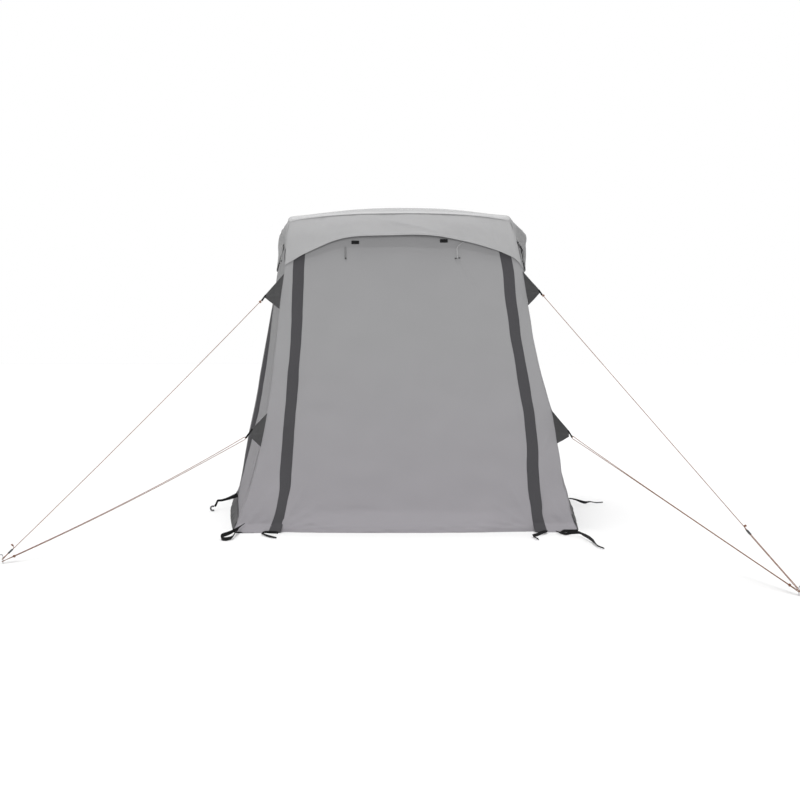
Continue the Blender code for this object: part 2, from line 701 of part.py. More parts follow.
def build_straps():
    for hand, at_end in (("left", False), ("right", True)):
        corner_end, seam_end = CORNER_STRAP_ENDS[hand], SEAM_STRAP_ENDS[hand]
        near_corner = from_corner(FRONT, at_end, STRAP_FROM_CORNER, STRAP_HEIGHT, WALL / 2)
        build_strap(f"front_{hand}_corner_strap", near_corner, outward(FRONT), corner_end, 0.45)
        seam, cover_face = seam_distance(STRAP_HEIGHT), WALL / 2 + COVER_GAP + COVER
        at_seam = from_corner(FRONT, at_end, seam, STRAP_HEIGHT, cover_face)
        build_strap(f"front_{hand}_seam_strap", at_seam, outward(FRONT), seam_end, 0.45)
    for hand, side, at_end in (("left", LEFT, False), ("right", RIGHT, True)):
        distance = SIDE_STRAP_FROM_CORNER[hand]
        above_skirt = from_corner(side, at_end, distance, SIDE_STRAP_HEIGHT, WALL / 2)
        build_strap(f"{hand}_side_strap", above_skirt, outward(side), SIDE_STRAP_ENDS[hand], 0.60)


def build():
    clear_scene()
    build_roof()
    for name, (side, start, end) in SIDES.items():
        build_door(name, side)
        build_hood(name, side)
        build_zip_cover(f"{name}_wall_{start}_zip_cover", side, False)
        build_zip_cover(f"{name}_wall_{end}_zip_cover", side, True)
    for corner in range(4):
        build_corner_wall(corner)
    build_mud_skirt("left", LEFT)
    build_mud_skirt("right", RIGHT)
    build_frame()
    build_guys()
    build_straps()


build()
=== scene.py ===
"""Looks of a camping shelter: four cloth walls with zip-in panels, hooded eaves, a bowed roof and guy lines.

Metres, +Z up. The front faces -Y, and the origin is the middle of the front hem at ground level.
"""

import itertools
import logging
import math
from dataclasses import dataclass, field
from enum import Enum, IntEnum
from typing import Callable, Sequence

import bpy
import numpy as np
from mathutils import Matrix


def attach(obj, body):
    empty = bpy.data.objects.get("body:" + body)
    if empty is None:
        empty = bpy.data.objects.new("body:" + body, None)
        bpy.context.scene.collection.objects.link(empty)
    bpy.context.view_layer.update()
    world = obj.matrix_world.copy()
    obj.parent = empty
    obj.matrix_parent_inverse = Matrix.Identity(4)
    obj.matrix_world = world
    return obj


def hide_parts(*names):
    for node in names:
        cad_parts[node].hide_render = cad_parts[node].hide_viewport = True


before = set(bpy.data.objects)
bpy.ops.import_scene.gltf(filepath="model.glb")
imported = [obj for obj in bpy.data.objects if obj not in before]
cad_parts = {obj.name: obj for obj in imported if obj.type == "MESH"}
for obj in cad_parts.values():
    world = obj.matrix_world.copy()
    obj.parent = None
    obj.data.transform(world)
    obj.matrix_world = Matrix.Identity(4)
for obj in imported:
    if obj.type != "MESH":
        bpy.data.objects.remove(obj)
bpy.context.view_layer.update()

Array = np.ndarray
Pair = tuple[float, float]
Triple = tuple[float, float, float]
Colour = Triple
Knots = tuple[Pair, ...]
NO_CHANGE: Knots = ((0.0, 0.0), (1.0, 0.0))
LOG = logging.getLogger("camping_shelter")
BODY = "root"
UP = np.array([0.0, 0.0, 1.0])
CLOTH_MAP = "cloth"


class Side(IntEnum):
    """The four sides, each numbered by the corner where it starts, round from the front left corner."""

    FRONT = 0
    RIGHT = 1
    REAR = 2
    LEFT = 3

    @property
    def label(self) -> str:
        """The side's plain name."""
        return self.name.lower()

    @property
    def following(self) -> "Side":
        """The next side round."""
        return Side((self + 1) % 4)


class Slot(Enum):
    """The finishes by their names in the record."""

    GREY_CLOTH = "grey_cloth"
    ROOF_CLOTH = "roof_cloth"
    DARK_CLOTH = "dark_cloth"
    SKIRT_CLOTH = "skirt_cloth"
    WEBBING = "black_webbing"
    ROPE = "orange_rope"
    PLASTIC = "black_plastic"
    PEG = "peg_steel"


CORNER_NAMES = ("front_left", "front_right", "rear_right", "rear_left")
ZIP_ENDS = {
    Side.FRONT: ("left", "right"),
    Side.RIGHT: ("front", "rear"),
    Side.REAR: ("right", "left"),
    Side.LEFT: ("rear", "front"),
}


def smooth_curve(knots: Knots, at: Array) -> Array:
    """Reads a smooth curve through pairs of place and value.

    Each stretch is a cubic with the knots' values and slopes at its ends (Hermite).

    Args:
        knots: pairs of place and value, in rising order of place.
        at: the places to read.

    Returns:
        The values there, held level beyond the two end knots.
    """
    place, value = np.array(knots, float).T
    slope = np.gradient(value, place)
    at = np.clip(np.asarray(at, float), place[0], place[-1])
    i = np.clip(np.searchsorted(place, at, side="right") - 1, 0, len(place) - 2)
    span = place[i + 1] - place[i]
    t = (at - place[i]) / span
    start = (2 * t**3 - 3 * t**2 + 1) * value[i] + (t**3 - 2 * t**2 + t) * span * slope[i]
    return start + (3 * t**2 - 2 * t**3) * value[i + 1] + (t**3 - t**2) * span * slope[i + 1]


def smooth_path(knots: Sequence[Sequence[float]], count: int) -> Array:
    """Draws a smooth path through points, one cubic for each coordinate over the distance along them.

    Args:
        knots: the points it passes.
        count: how many points to give back, evenly spaced along it.

    Returns:
        An array of count by 3.
    """
    points = np.array(knots, float)
    run = np.concatenate([[0.0], np.cumsum(np.linalg.norm(np.diff(points, axis=0), axis=1))])
    at = np.linspace(0.0, run[-1], count)
    columns = [smooth_curve(tuple(zip(run, points[:, axis])), at) for axis in range(points.shape[1])]
    return np.stack(columns, axis=-1)


def unit(vectors: Array) -> Array:
    """Vectors of the same directions, one metre long."""
    vectors = np.asarray(vectors, float)
    return vectors / np.maximum(np.linalg.norm(vectors, axis=-1, keepdims=True), 1e-12)


def smooth_step(low: float, high: float, value: Array) -> Array:
    """0 below low, 1 above high, and 3t^2 - 2t^3 between them."""
    t = np.clip((value - low) / (high - low), 0.0, 1.0)
    return t * t * (3.0 - 2.0 * t)


def run_along(points: Array) -> Array:
    """The distance along each row of points, from its first point."""
    steps = np.linalg.norm(np.diff(points, axis=-2), axis=-1)
    return np.concatenate([np.zeros(steps.shape[:-1] + (1,)), np.cumsum(steps, axis=-1)], axis=-1)


@dataclass(frozen=True)
class Ripples:
    """Soft waves over a cloth, the same each run."""

    seed: int  # picks the waves
    height: float  # of the higher waves, in metres
    shortest: float  # wavelength, in metres
    longest: float  # wavelength, in metres
    upright: float = 1.0  # above 1 the waves run up the cloth, below 1 across it
    count: int = 14  # how many waves are added up

    def relief(self, across: Array, up: Array) -> Array:
        """Adds up cosines of random direction, wavelength and start.

        Args:
            across: places across the cloth, in metres.
            up: places up the cloth, in metres.

        Returns:
            The relief there, in metres.
        """
        random = np.random.default_rng(self.seed)
        turn = random.uniform(0.0, math.pi, self.count)
        length = np.exp(random.uniform(math.log(self.shortest), math.log(self.longest), self.count))
        start = random.uniform(0.0, 2.0 * math.pi, self.count)
        total = np.zeros(np.broadcast(across, up).shape)
        for angle, wavelength, phase in zip(turn, length, start):
            along = across * math.cos(angle) * self.upright + up * math.sin(angle) / self.upright
            share = (wavelength / self.longest) ** 0.5
            total = total + share * np.cos(2.0 * math.pi * along / wavelength + phase)
        return self.height * total * math.sqrt(2.0 / self.count)


@dataclass(frozen=True)
class Crease:
    """A straight crease in cloth, a ridge where its height is above zero and a fold where it is below."""

    start: Pair  # where it starts, across and up the cloth
    end: Pair  # where it ends
    width: float  # from its middle to where 1/e of the height is left
    height: float  # of its middle, in metres

    def relief(self, across: Array, up: Array) -> Array:
        """The height times exp(-(distance / width)^2), and times a half sine from end to end.

        Args:
            across: places across the cloth, in metres.
            up: places up the cloth, in metres.

        Returns:
            The relief there, in metres.
        """
        line = np.array(self.end) - np.array(self.start)
        length = float(np.linalg.norm(line))
        ahead = line / length
        east, north = across - self.start[0], up - self.start[1]
        along = (east * ahead[0] + north * ahead[1]) / length
        aside = east * ahead[1] - north * ahead[0]
        fade = np.sin(math.pi * np.clip(along, 0.0, 1.0)) ** 0.7
        return self.height * fade * np.exp(-((aside / self.width) ** 2))


@dataclass(frozen=True)
class Puckers:
    """The short gathers that a sewn seam draws into cloth, which die away from it."""

    seed: int  # of its random waves
    height: float  # of the gathers, in metres
    reach: float  # distance from the seam at which 1/e of the height is left
    spacing: float = 0.045  # the least distance between two gathers
    slant: float = 0.35  # how far they bend along the seam for each metre away from it

    def relief(self, along: Array, away: Array) -> Array:
        """Waves along the seam that bend off at a slant, times exp(-distance / reach).

        Args:
            along: places along the seam, in metres.
            away: distances from the seam, in metres.

        Returns:
            The relief there, in metres.
        """
        waves = Ripples(self.seed, 1.0, self.spacing, self.spacing * 3.0, 1.0, 9)
        strength = 0.5 + 0.5 * Ripples(self.seed + 1, 1.0, 0.3, 0.9, 1.0, 5).relief(along, 0.0 * along)
        wave = waves.relief(along + self.slant * away, 0.0 * along)
        return self.height * wave * np.clip(strength, 0.0, 1.4) * np.exp(-np.maximum(away, 0.0) / self.reach)


class Nodes:
    """A tree of shader nodes, with short calls to add and join them."""

    def __init__(self, tree: bpy.types.NodeTree) -> None:
        """Takes a tree and adds the node that gives places.

        Args:
            tree: the tree to fill.
        """
        self.tree = tree
        self.place = tree.nodes.new("ShaderNodeTexCoord")

    def node(self, kind: str, inputs: dict | None = None, **settings: object) -> bpy.types.Node:
        """Adds a node.

        Args:
            kind: Blender's name of the node.
            inputs: values or sockets for its inputs, by name or number.
            settings: values for the node's own options.

        Returns:
            The node.
        """
        made = self.tree.nodes.new(kind)
        for option, value in settings.items():
            setattr(made, option, value)
        for key, value in (inputs or {}).items():
            self.feed(made.inputs[key], value)
        return made

    def feed(self, socket: bpy.types.NodeSocket, value: object) -> None:
        """Joins a socket to another one, or sets its value.

        Args:
            socket: the input socket.
            value: an output socket or a plain value.
        """
        if isinstance(value, bpy.types.NodeSocket):
            self.tree.links.new(value, socket)
        else:
            socket.default_value = value

    def spread(
        self, value: object, low: float, high: float, start: float = 0.0, end: float = 1.0,
        **settings: object,
    ) -> object:
        """A value from start to end, spread over low to high."""
        inputs = {"Value": value, 1: start, 2: end, 3: low, 4: high}
        return self.node("ShaderNodeMapRange", inputs, **settings).outputs["Result"]

    def maths(self, operation: str, first: object, second: object = 0.0) -> object:
        """One sum of two values."""
        return self.node("ShaderNodeMath", {0: first, 1: second}, operation=operation).outputs[0]

    def times(self, first: object, second: object) -> object:
        """One value times another."""
        return self.maths("MULTIPLY", first, second)

    def axes(self, vector: object) -> bpy.types.bpy_prop_collection:
        """A vector's X, Y and Z."""
        return self.node("ShaderNodeSeparateXYZ", {0: vector}).outputs


class Palette(Nodes):
    """One material's nodes."""

    def __init__(self, name: str) -> None:
        """Starts a material with its shader.

        Args:
            name: the material's name.
        """
        self.material = bpy.data.materials.new(name)
        self.material.use_nodes = True
        super().__init__(self.material.node_tree)
        self.shader = self.tree.nodes["Principled BSDF"]

    def cover(self, inputs: dict[str, object]) -> bpy.types.Material:
        """Gives the shader its values and sockets by name, and hands back the material.

        Args:
            inputs: a value or an output socket for each of the shader's inputs.

        Returns:
            The material.
        """
        for name, value in inputs.items():
            self.feed(self.shader.inputs[name], value)
        return self.material

    def noise(self, scale: float, detail: float = 3.0, where: bpy.types.NodeSocket | None = None) -> object:
        """Noise from 0 to 1, on Object coordinates unless a place is given.

        Args:
            scale: how many of its waves fit in a metre.
            detail: how many finer waves lie on top.
            where: the place to read it at.

        Returns:
            The output socket.
        """
        where = where or self.place.outputs["Object"]
        made = self.node("ShaderNodeTexNoise", {"Vector": where, "Scale": scale, "Detail": detail})
        return made.outputs["Fac"]

    def mix(self, share: object, first: object, second: object, blend: str = "MIX") -> object:
        """Two colours mixed by a share from 0 to 1.

        Args:
            share: how much of the second one.
            first: the first colour.
            second: the second colour.
            blend: how they mix.

        Returns:
            The output socket.
        """
        mixer = self.node("ShaderNodeMix", data_type="RGBA", blend_type=blend)
        for socket, value in ((0, share), (6, first), (7, second)):
            self.feed(mixer.inputs[socket], value)
        return mixer.outputs[2]

    def shaded(self, colour: object, tone: object) -> object:
        """A colour times a grey tone."""
        grey = self.node("ShaderNodeCombineColor", {0: tone, 1: tone, 2: tone}).outputs[0]
        return self.mix(1.0, colour, grey, "MULTIPLY")

    def ribs(self, spacing: float, direction: str) -> object:
        """Even ribs from 0 to 1 in the cloth's own metres.

        Args:
            spacing: from one rib to the next, in metres.
            direction: X for ribs that follow each other across the cloth, Y for up it.

        Returns:
            The output socket.
        """
        full_turn = math.pi / 10.0
        inputs = {"Vector": self.place.outputs["UV"], "Scale": full_turn / spacing}
        wave = self.node("ShaderNodeTexWave", inputs, bands_direction=direction, wave_profile="SIN")
        return wave.outputs["Fac"]

    def bump(self, height: object, depth: float, strength: float, under: object | None = None) -> object:
        """A bump whose full height is depth metres, on top of another one if that is given.

        Args:
            height: the height from 0 to 1.
            depth: the full height, in metres.
            strength: how much of it shows, from 0 to 1.
            under: another bump.

        Returns:
            The output socket.
        """
        inputs = {"Height": height, "Distance": depth, "Strength": strength}
        if under is not None:
            inputs["Normal"] = under
        return self.node("ShaderNodeBump", inputs).outputs["Normal"]


def rgba(colour: Sequence[float], shade: float = 1.0) -> tuple[float, float, float, float]:
    """A colour as four numbers, darker or lighter by a factor."""
    return (colour[0] * shade, colour[1] * shade, colour[2] * shade, 1.0)


@dataclass(frozen=True)
class Finish:
    """What every finish shares."""

    name: str  # of its material
    colour: Colour  # in linear light
    roughness: float  # from 0, a mirror, to 1

    def material(self) -> bpy.types.Material:
        """The finish as a material, made once."""
        return bpy.data.materials.get(self.name) or self.paint(Palette(self.name))

    def paint(self, palette: Palette) -> bpy.types.Material:
        """Fills the material's nodes. Each finish has its own way."""
        raise NotImplementedError


@dataclass(frozen=True)
class WovenCloth(Finish):
    """Coated polyester: plain weave with painted shade between threads, faint blotches, small crinkles,
    purpler low down.
    """

    thread: float = 0.00075  # from one thread to the next, in metres
    variation: float = 0.035  # how much lighter or darker the blotches are
    sheen: float = 0.02  # of the cloth's loose fibres
    low_colour: Colour | None = None  # the colour near the ground
    low_until: float = 1.3  # height at which that colour has ended
    crinkle: float = 0.0012  # height of the small crinkles, in metres
    speck: Pair = (0.965, 1.035)  # how dark and how light the specks are
    weave: Pair = (0.95, 1.03)  # how dark between the threads and how light on them: painted shade and light
    rough_spread: float = 0.05  # how much rougher or smoother some places are

    def paint(self, palette: Palette) -> bpy.types.Material:
        """Fills the nodes of the cloth.

        Args:
            palette: takes the nodes.

        Returns:
            The material.
        """
        blotches = palette.spread(palette.noise(3.1, 4.0), 1.0 - self.variation, 1.0 + self.variation)
        specks = palette.spread(palette.noise(420.0, 2.0), *self.speck)
        weave = palette.times(palette.ribs(self.thread, "X"), palette.ribs(self.thread, "Y"))
        # the weave's tone is painted shade between the threads and painted light on them
        tone = palette.times(palette.times(blotches, specks), palette.spread(weave, *self.weave))
        colour = rgba(self.colour)
        if self.low_colour:
            height = palette.axes(palette.place.outputs["Object"])["Z"]
            share = palette.spread(height, 0.0, 1.0, 0.0, self.low_until)
            colour = palette.mix(share, rgba(self.low_colour), colour)
        rough = self.roughness - self.rough_spread, self.roughness + self.rough_spread
        crinkles = palette.bump(palette.noise(26.0), self.crinkle, 0.35)
        return palette.cover({
            "Base Color": palette.shaded(colour, tone),
            "Roughness": palette.spread(palette.noise(9.0), *rough),
            "Normal": palette.bump(weave, self.thread * 0.3, 0.5, crinkles),
            "Sheen Weight": self.sheen,
            "Sheen Roughness": 0.45,
            "Specular IOR Level": 0.1,
        })


@dataclass(frozen=True)
class WovenTape(Finish):
    """Polyester webbing: ribs across its length, finer threads along it, painted shade between the ribs, and
    a little dust.
    """

    rib: float = 0.0016  # from one rib to the next, in metres
    dust: Pair = (0.75, 1.5)  # how dark and how light the dust makes it
    weave: Pair = (0.7, 1.15)  # how dark between the ribs and how light on them: painted shade and light

    def paint(self, palette: Palette) -> bpy.types.Material:
        """Fills the nodes of the webbing.

        Args:
            palette: takes the nodes.

        Returns:
            The material.
        """
        ribs, threads = palette.ribs(self.rib, "Y"), palette.ribs(self.rib * 0.6, "X")
        weave = palette.times(palette.spread(ribs, 0.4, 1.0), palette.spread(threads, 0.5, 1.0))
        dust = palette.spread(palette.noise(60.0, 4.0), *self.dust)
        # the ribs' tone is painted shade in the hollows between them and painted light on their crests
        tone = palette.times(palette.spread(weave, *self.weave), dust)
        return palette.cover({
            "Base Color": palette.shaded(rgba(self.colour), tone),
            "Roughness": palette.spread(weave, self.roughness + 0.08, self.roughness),
            "Normal": palette.bump(weave, self.rib * 0.3, 0.7),
            "Specular IOR Level": 0.15,
        })


@dataclass(frozen=True)
class BraidedRope(Finish):
    """Braided cord: two sets of slanting strands that cross, one strand in four of another colour, painted
    shade in the grooves.
    """

    fleck: Colour = (0.2, 0.2, 0.2)  # the other colour
    strand: float = 0.0021  # from one strand to the next, in metres

    def paint(self, palette: Palette) -> bpy.types.Material:
        """Fills the nodes of the rope, whose map runs round it and along it in metres.

        Args:
            palette: takes the nodes.

        Returns:
            The material.
        """
        around, along = palette.axes(palette.place.outputs["UV"])[:2]
        runs = []
        for way in (1.0, -1.0):
            slant = palette.maths("ADD", along, palette.times(around, way))
            turns = palette.times(slant, 2.0 * math.pi / self.strand)
            runs.append(palette.spread(palette.maths("SINE", turns), 0.0, 1.0, -1.0, 1.0))
        braid = palette.maths("MAXIMUM", *runs)
        slow = palette.maths("SINE", palette.times(along, math.pi / (2.0 * self.strand)))
        stripe = palette.times(palette.spread(slow, 0.0, 1.0, 0.3, 0.9), runs[0])
        base = palette.mix(stripe, rgba(self.colour), rgba(self.fleck))
        return palette.cover({
            # the braid's tone darkens the grooves between strands: painted shade
            "Base Color": palette.shaded(base, palette.spread(braid, 0.55, 1.08, 0.3, 1.0)),
            "Roughness": palette.spread(braid, self.roughness + 0.1, self.roughness),
            "Normal": palette.bump(braid, self.strand * 0.25, 0.8),
        })


@dataclass(frozen=True)
class MouldedPlastic(Finish):
    """Moulded nylon: a fine grain, faint flow marks, and lighter rubbed places."""

    rubbed_shade: float = 2.2  # how many times lighter the rubbed places are
    grain_depth: float = 0.0001  # in metres

    def paint(self, palette: Palette) -> bpy.types.Material:
        """Fills the nodes of the plastic.

        Args:
            palette: takes the nodes.

        Returns:
            The material.
        """
        rubbed = palette.spread(palette.noise(180.0, 4.0), 0.0, 1.0, 0.52, 0.75)
        rough = self.roughness - 0.08, self.roughness + 0.12
        return palette.cover({
            "Base Color": palette.mix(rubbed, rgba(self.colour), rgba(self.colour, self.rubbed_shade)),
            "Roughness": palette.spread(palette.noise(90.0), *rough),
            "Normal": palette.bump(palette.noise(2600.0, 2.0), self.grain_depth, 0.4),
        })


@dataclass(frozen=True)
class PlatedSteel(Finish):
    """Zinc-plated steel: drawn lines along it, and dull oxide patches."""

    dull: Colour = (0.22, 0.22, 0.21)  # colour of the patches
    line_scale: Triple = (400.0, 400.0, 12.0)  # how close the lines lie along each axis
    line_depth: float = 0.00008  # in metres

    def paint(self, palette: Palette) -> bpy.types.Material:
        """Fills the nodes of the steel.

        Args:
            palette: takes the nodes.

        Returns:
            The material.
        """
        stretch = {"Vector": palette.place.outputs["Object"], "Scale": self.line_scale}
        lines = palette.noise(1.0, 3.0, palette.node("ShaderNodeMapping", stretch).outputs[0])
        patches = palette.spread(palette.noise(14.0, 5.0), 0.0, 0.6, 0.48, 0.72)
        shine = palette.maths("ADD", palette.spread(lines, -0.06, 0.08), self.roughness)
        return palette.cover({
            "Base Color": palette.mix(patches, rgba(self.colour), rgba(self.dull)),
            "Roughness": palette.maths("ADD", shine, palette.times(patches, 0.25)),
            "Metallic": palette.spread(patches, 0.95, 0.7),
            "Normal": palette.bump(lines, self.line_depth, 0.3),
        })


@dataclass(frozen=True)
class PaleFloor(Finish):
    """A plain studio floor with the faintest mottling."""

    def paint(self, palette: Palette) -> bpy.types.Material:
        """Fills the nodes of the floor.

        Args:
            palette: takes the nodes.

        Returns:
            The material.
        """
        tone = palette.spread(palette.noise(0.7, 2.0), 0.985, 1.0)
        return palette.cover({
            "Base Color": palette.shaded(rgba(self.colour), tone),
            "Roughness": self.roughness,
            "Specular IOR Level": 0.1,
        })


class Finishes:
    """Every finish of the shelter, in linear light."""

    wall = WovenCloth("grey_wall_cloth", (0.191, 0.191, 0.194), 0.78, low_colour=(0.196, 0.189, 0.201))
    # the hoods are the walls' grey cloth, made lighter to show them brighter than the walls: painted light
    hood = WovenCloth("grey_hood_cloth", (0.245, 0.245, 0.247), 0.74)
    roof = WovenCloth("pale_roof_cloth", (0.345, 0.345, 0.347), 0.66, sheen=0.05)
    zip_cover = WovenCloth("dark_zip_cloth", (0.041, 0.04, 0.043), 0.72, variation=0.12)
    tab = WovenCloth("dark_tab_cloth", (0.056, 0.056, 0.057), 0.74, variation=0.08)
    skirt = WovenCloth("dark_skirt_cloth", (0.033, 0.032, 0.033), 0.55, variation=0.1)
    webbing = WovenTape("black_strap_webbing", (0.006, 0.006, 0.0064), 0.75)
    rope = BraidedRope("orange_guy_rope", (0.185, 0.062, 0.018), 0.68, (0.074, 0.058, 0.05))
    cord = BraidedRope("pale_tie_cord", (0.33, 0.33, 0.33), 0.7, (0.26, 0.26, 0.26), 0.0012)
    dark_cord = BraidedRope("dark_tie_cord", (0.13, 0.13, 0.13), 0.7, (0.11, 0.11, 0.11), 0.0012)
    plastic = MouldedPlastic("black_moulded_plastic", (0.014, 0.014, 0.015), 0.42)
    thread = WovenTape("grey_sewing_thread", (0.146, 0.146, 0.15), 0.8, rib=0.0004)
    dark_thread = WovenTape("dark_sewing_thread", (0.022, 0.022, 0.023), 0.8, rib=0.0004)
    tube = PlatedSteel("plated_tube_steel", (0.5, 0.51, 0.52), 0.3)
    peg = PlatedSteel("plated_peg_steel", (0.42, 0.43, 0.44), 0.34)
    floor = PaleFloor("pale_studio_floor", (0.7, 0.7, 0.7), 0.9)


@dataclass(frozen=True)
class Form:
    """The form of the shelter's cloth, from which every piece takes its place."""

    depth: float = 1.7  # from the front hem to the rear hem
    lean: float = 0.1  # how far the front and rear lean inwards for each metre of height
    # How far each side moves outwards for each metre towards the rear, at no one height.
    mean_splay: float = 0.12
    eave: float = 2.122  # height of the roof's lowest edge
    end_bow: float = 0.032  # how much the roof's front and rear edges rise in the middle
    crown: float = 0.064  # how much higher the roof is at mid depth
    bow_power: float = 2.4  # how square the roof's shoulders are
    eave_tilt: float = 0.004  # how much the right eave is above, and the left one below, the mean
    overhang: float = 0.01  # of the roof past the middle of the wall cloth
    radius: float = 0.03  # of the rounded corners
    cloth: float = 0.004  # thickness of the walls
    roof_gap: float = 0.0115  # from the roof's upper face down to the walls' top
    front_half: Knots = (  # height, and half the front's width on the line y = 0
        (0.0, 1.147), (0.25, 1.07), (0.6, 0.985), (1.0, 0.903), (1.5, 0.827), (1.8, 0.782), (2.16, 0.712),
    )
    # Height, and how far each side moves outwards for each metre towards the rear.
    splay: Knots = ((0.0, 0.11), (0.3, 0.128), (1.4, 0.13), (1.8, 0.116), (2.16, 0.116))
    front_lean: Knots = (  # height, and how far the front's middle stands to the right
        (0.0, 0.01), (0.6, 0.033), (1.0, 0.024), (1.5, 0.002), (1.8, -0.01), (2.16, -0.044),
    )
    rear_lean: float = 0.015  # how far the rear's middle stands to the right, at every height
    seam: Knots = (  # height, and the distance from a corner to the zip beside it
        (0.0, 0.27), (0.25, 0.222), (0.55, 0.172), (0.9, 0.145), (1.25, 0.13), (1.8, 0.097), (2.16, 0.09),
    )
    # For each corner, height and how far it stands further in than an even splay puts it.
    trims: dict[int, Knots] = field(default_factory=lambda: {
        Side.RIGHT: (
            (0.0, -0.003), (0.05, 0.002), (0.12, 0.008), (0.2, 0.001), (0.3, 0.01), (0.4, 0.009),
            (0.5, 0.003), (0.6, 0.0), (0.7, -0.006), (0.8, -0.009), (0.9, 0.0), (1.0, 0.008),
            (1.1, 0.01), (1.2, 0.014), (1.3, 0.017), (1.4, 0.013), (1.5, 0.01), (1.6, 0.007),
            (1.75, 0.0),
        ),
        Side.REAR: (
            (0.0, 0.023), (0.05, 0.031), (0.1, 0.038), (0.15, 0.038), (0.2, 0.032), (0.3, 0.027),
            (0.4, 0.022), (0.5, 0.013), (0.6, 0.005), (0.7, 0.01), (0.8, 0.022), (0.9, 0.031),
            (1.0, 0.037), (1.1, 0.043), (1.2, 0.048), (1.3, 0.052), (1.4, 0.051), (1.5, 0.049),
            (1.6, 0.041), (1.7, 0.031), (1.8, 0.016), (1.9, 0.004), (2.0, 0.0),
        ),
        Side.LEFT: (
            (0.0, 0.008), (0.1, 0.014), (0.2, 0.01), (0.32, 0.006), (0.45, 0.004), (0.6, 0.006),
            (0.72, 0.008), (0.85, 0.007), (1.0, 0.001), (1.1, 0.0), (1.55, 0.0), (1.7, -0.006),
            (1.8, -0.011), (1.9, -0.006), (2.0, 0.0),
        ),
    })
    # Height, and the radius to which the wall cloth is bent round the corners.
    wall_radius: Knots = ((0.0, 0.016), (1.7, 0.016), (1.8, 0.03), (2.3, 0.03))

    def half_width(self, height: Array, depth: Array) -> Array:
        """Half the width: the front's at that height, plus the splay times the depth."""
        return smooth_curve(self.front_half, height) + smooth_curve(self.splay, height) * depth

    def middle(self, height: Array, depth: Array) -> Array:
        """How far the middle stands to the right, from the front's lean to the rear's."""
        front = smooth_curve(self.front_lean, height)
        return self.rear_lean + (front - self.rear_lean) * (1.0 - depth / self.depth)

    def corner(self, corner: int, height: Array, out: Array = 0.0) -> Array:
        """Points up a sharp corner of the wall cloth, or of a sheet that stands out from it.

        Args:
            corner: the number of the side that starts there.
            height: heights above the ground.
            out: distances outwards from the middle of the wall cloth.

        Returns:
            The points, with a last axis of 3.
        """
        height, out = np.broadcast_arrays(np.asarray(height, float), np.asarray(out, float))
        if corner in (Side.REAR, Side.LEFT):
            depth = self.depth - self.lean * height + out
        else:
            depth = self.lean * height - out
        hand = 1 if corner in (Side.RIGHT, Side.REAR) else -1
        half = self.half_width(height, depth) + out * math.hypot(1.0, self.mean_splay)
        half = half - smooth_curve(self.trims.get(Side(corner % 4), NO_CHANGE), height)
        return np.stack([self.middle(height, depth) + hand * half, depth, height], axis=-1)

    def outward(self, side: int) -> Array:
        """The level direction that a side faces.

        Args:
            side: the side's number.

        Returns:
            A direction one metre long.
        """
        normals = {
            Side.FRONT: (0.0, -1.0, 0.0), Side.REAR: (0.0, 1.0, 0.0),
            Side.RIGHT: (1.0, -self.mean_splay, 0.0), Side.LEFT: (-1.0, -self.mean_splay, 0.0),
        }
        return unit(np.array(normals[Side(side % 4)]))

    def length(self, side: int, height: Array, out: Array = 0.0) -> Array:
        """The distance between a side's two sharp corners."""
        ends = self.corner((side + 1) % 4, height, out) - self.corner(side, height, out)
        return np.linalg.norm(ends, axis=-1)

    def round_corner(self, corner: int, along: Array, height: Array, out: Array = 0.0) -> Array:
        """Points on a line that comes up to a corner, bends round it and goes on along the next side.

        Within the corner's radius it is the curve (1-s)^2 A + 2s(1-s) C + s^2 B, with A and B on the
        two sides and C the sharp corner. Beyond it the line is straight.

        Args:
            corner: the number of the side that starts there.
            along: the distance past the sharp corner, below zero on the side before it.
            height: heights above the ground.
            out: distances outwards from the middle of the wall cloth.

        Returns:
            The points, with a last axis of 3.
        """
        along, height, out = np.broadcast_arrays(along, height, out)
        sharp = self.corner(corner, height, out)
        on = unit(self.corner((corner + 1) % 4, height, out) - sharp)
        back = unit(self.corner((corner - 1) % 4, height, out) - sharp)
        radius = np.asarray(smooth_curve(self.wall_radius, height))[..., None]
        s = np.clip((along[..., None] / radius + 1.0) / 2.0, 0.0, 1.0)
        before, after = sharp + back * radius, sharp + on * radius
        bend = (1 - s) ** 2 * before + 2 * s * (1 - s) * sharp + s**2 * after
        along = along[..., None]
        straight = sharp + np.where(along < 0, -back, on) * along
        return np.where(np.abs(along) < radius, bend, straight)

    def whole_side(self, side: int, share: Array, height: Array, out: Array = 0.0) -> Array:
        """Points along a side from the middle of one rounded corner to the middle of the next.

        Args:
            side: the side's number.
            share: shares of its length.
            height: heights above the ground.
            out: distances outwards from the middle of the wall cloth.

        Returns:
            The points, with a last axis of 3.
        """
        share, height, out = np.broadcast_arrays(share, height, out)
        length = self.length(side, height, out)
        first = self.round_corner(side, share * length, height, out)
        last = self.round_corner((side + 1) % 4, (share - 1.0) * length, height, out)
        return np.where(share[..., None] < 0.5, first, last)

    def from_corner(
        self, side: int, at_end: bool, distance: Array, height: Array, out: Array = 0.0,
    ) -> Array:
        """Points on a side's flat, that far from the corner where the side starts or ends.

        Args:
            side: the side's number.
            at_end: whether the distance is taken from the corner where the side ends.
            distance: from that corner.
            height: heights above the ground.
            out: distances outwards from the middle of the wall cloth.

        Returns:
            The points, with a last axis of 3.
        """
        start, end = self.corner(side, height), self.corner((side + 1) % 4, height)
        if at_end:
            start, end = end, start
        distance, out = np.asarray(distance, float), np.asarray(out, float)
        return start + unit(end - start) * distance[..., None] + self.outward(side) * out[..., None]

    def seam_distance(self, height: Array) -> Array:
        """The distance from a corner to the zip beside it."""
        return smooth_curve(self.seam, height)

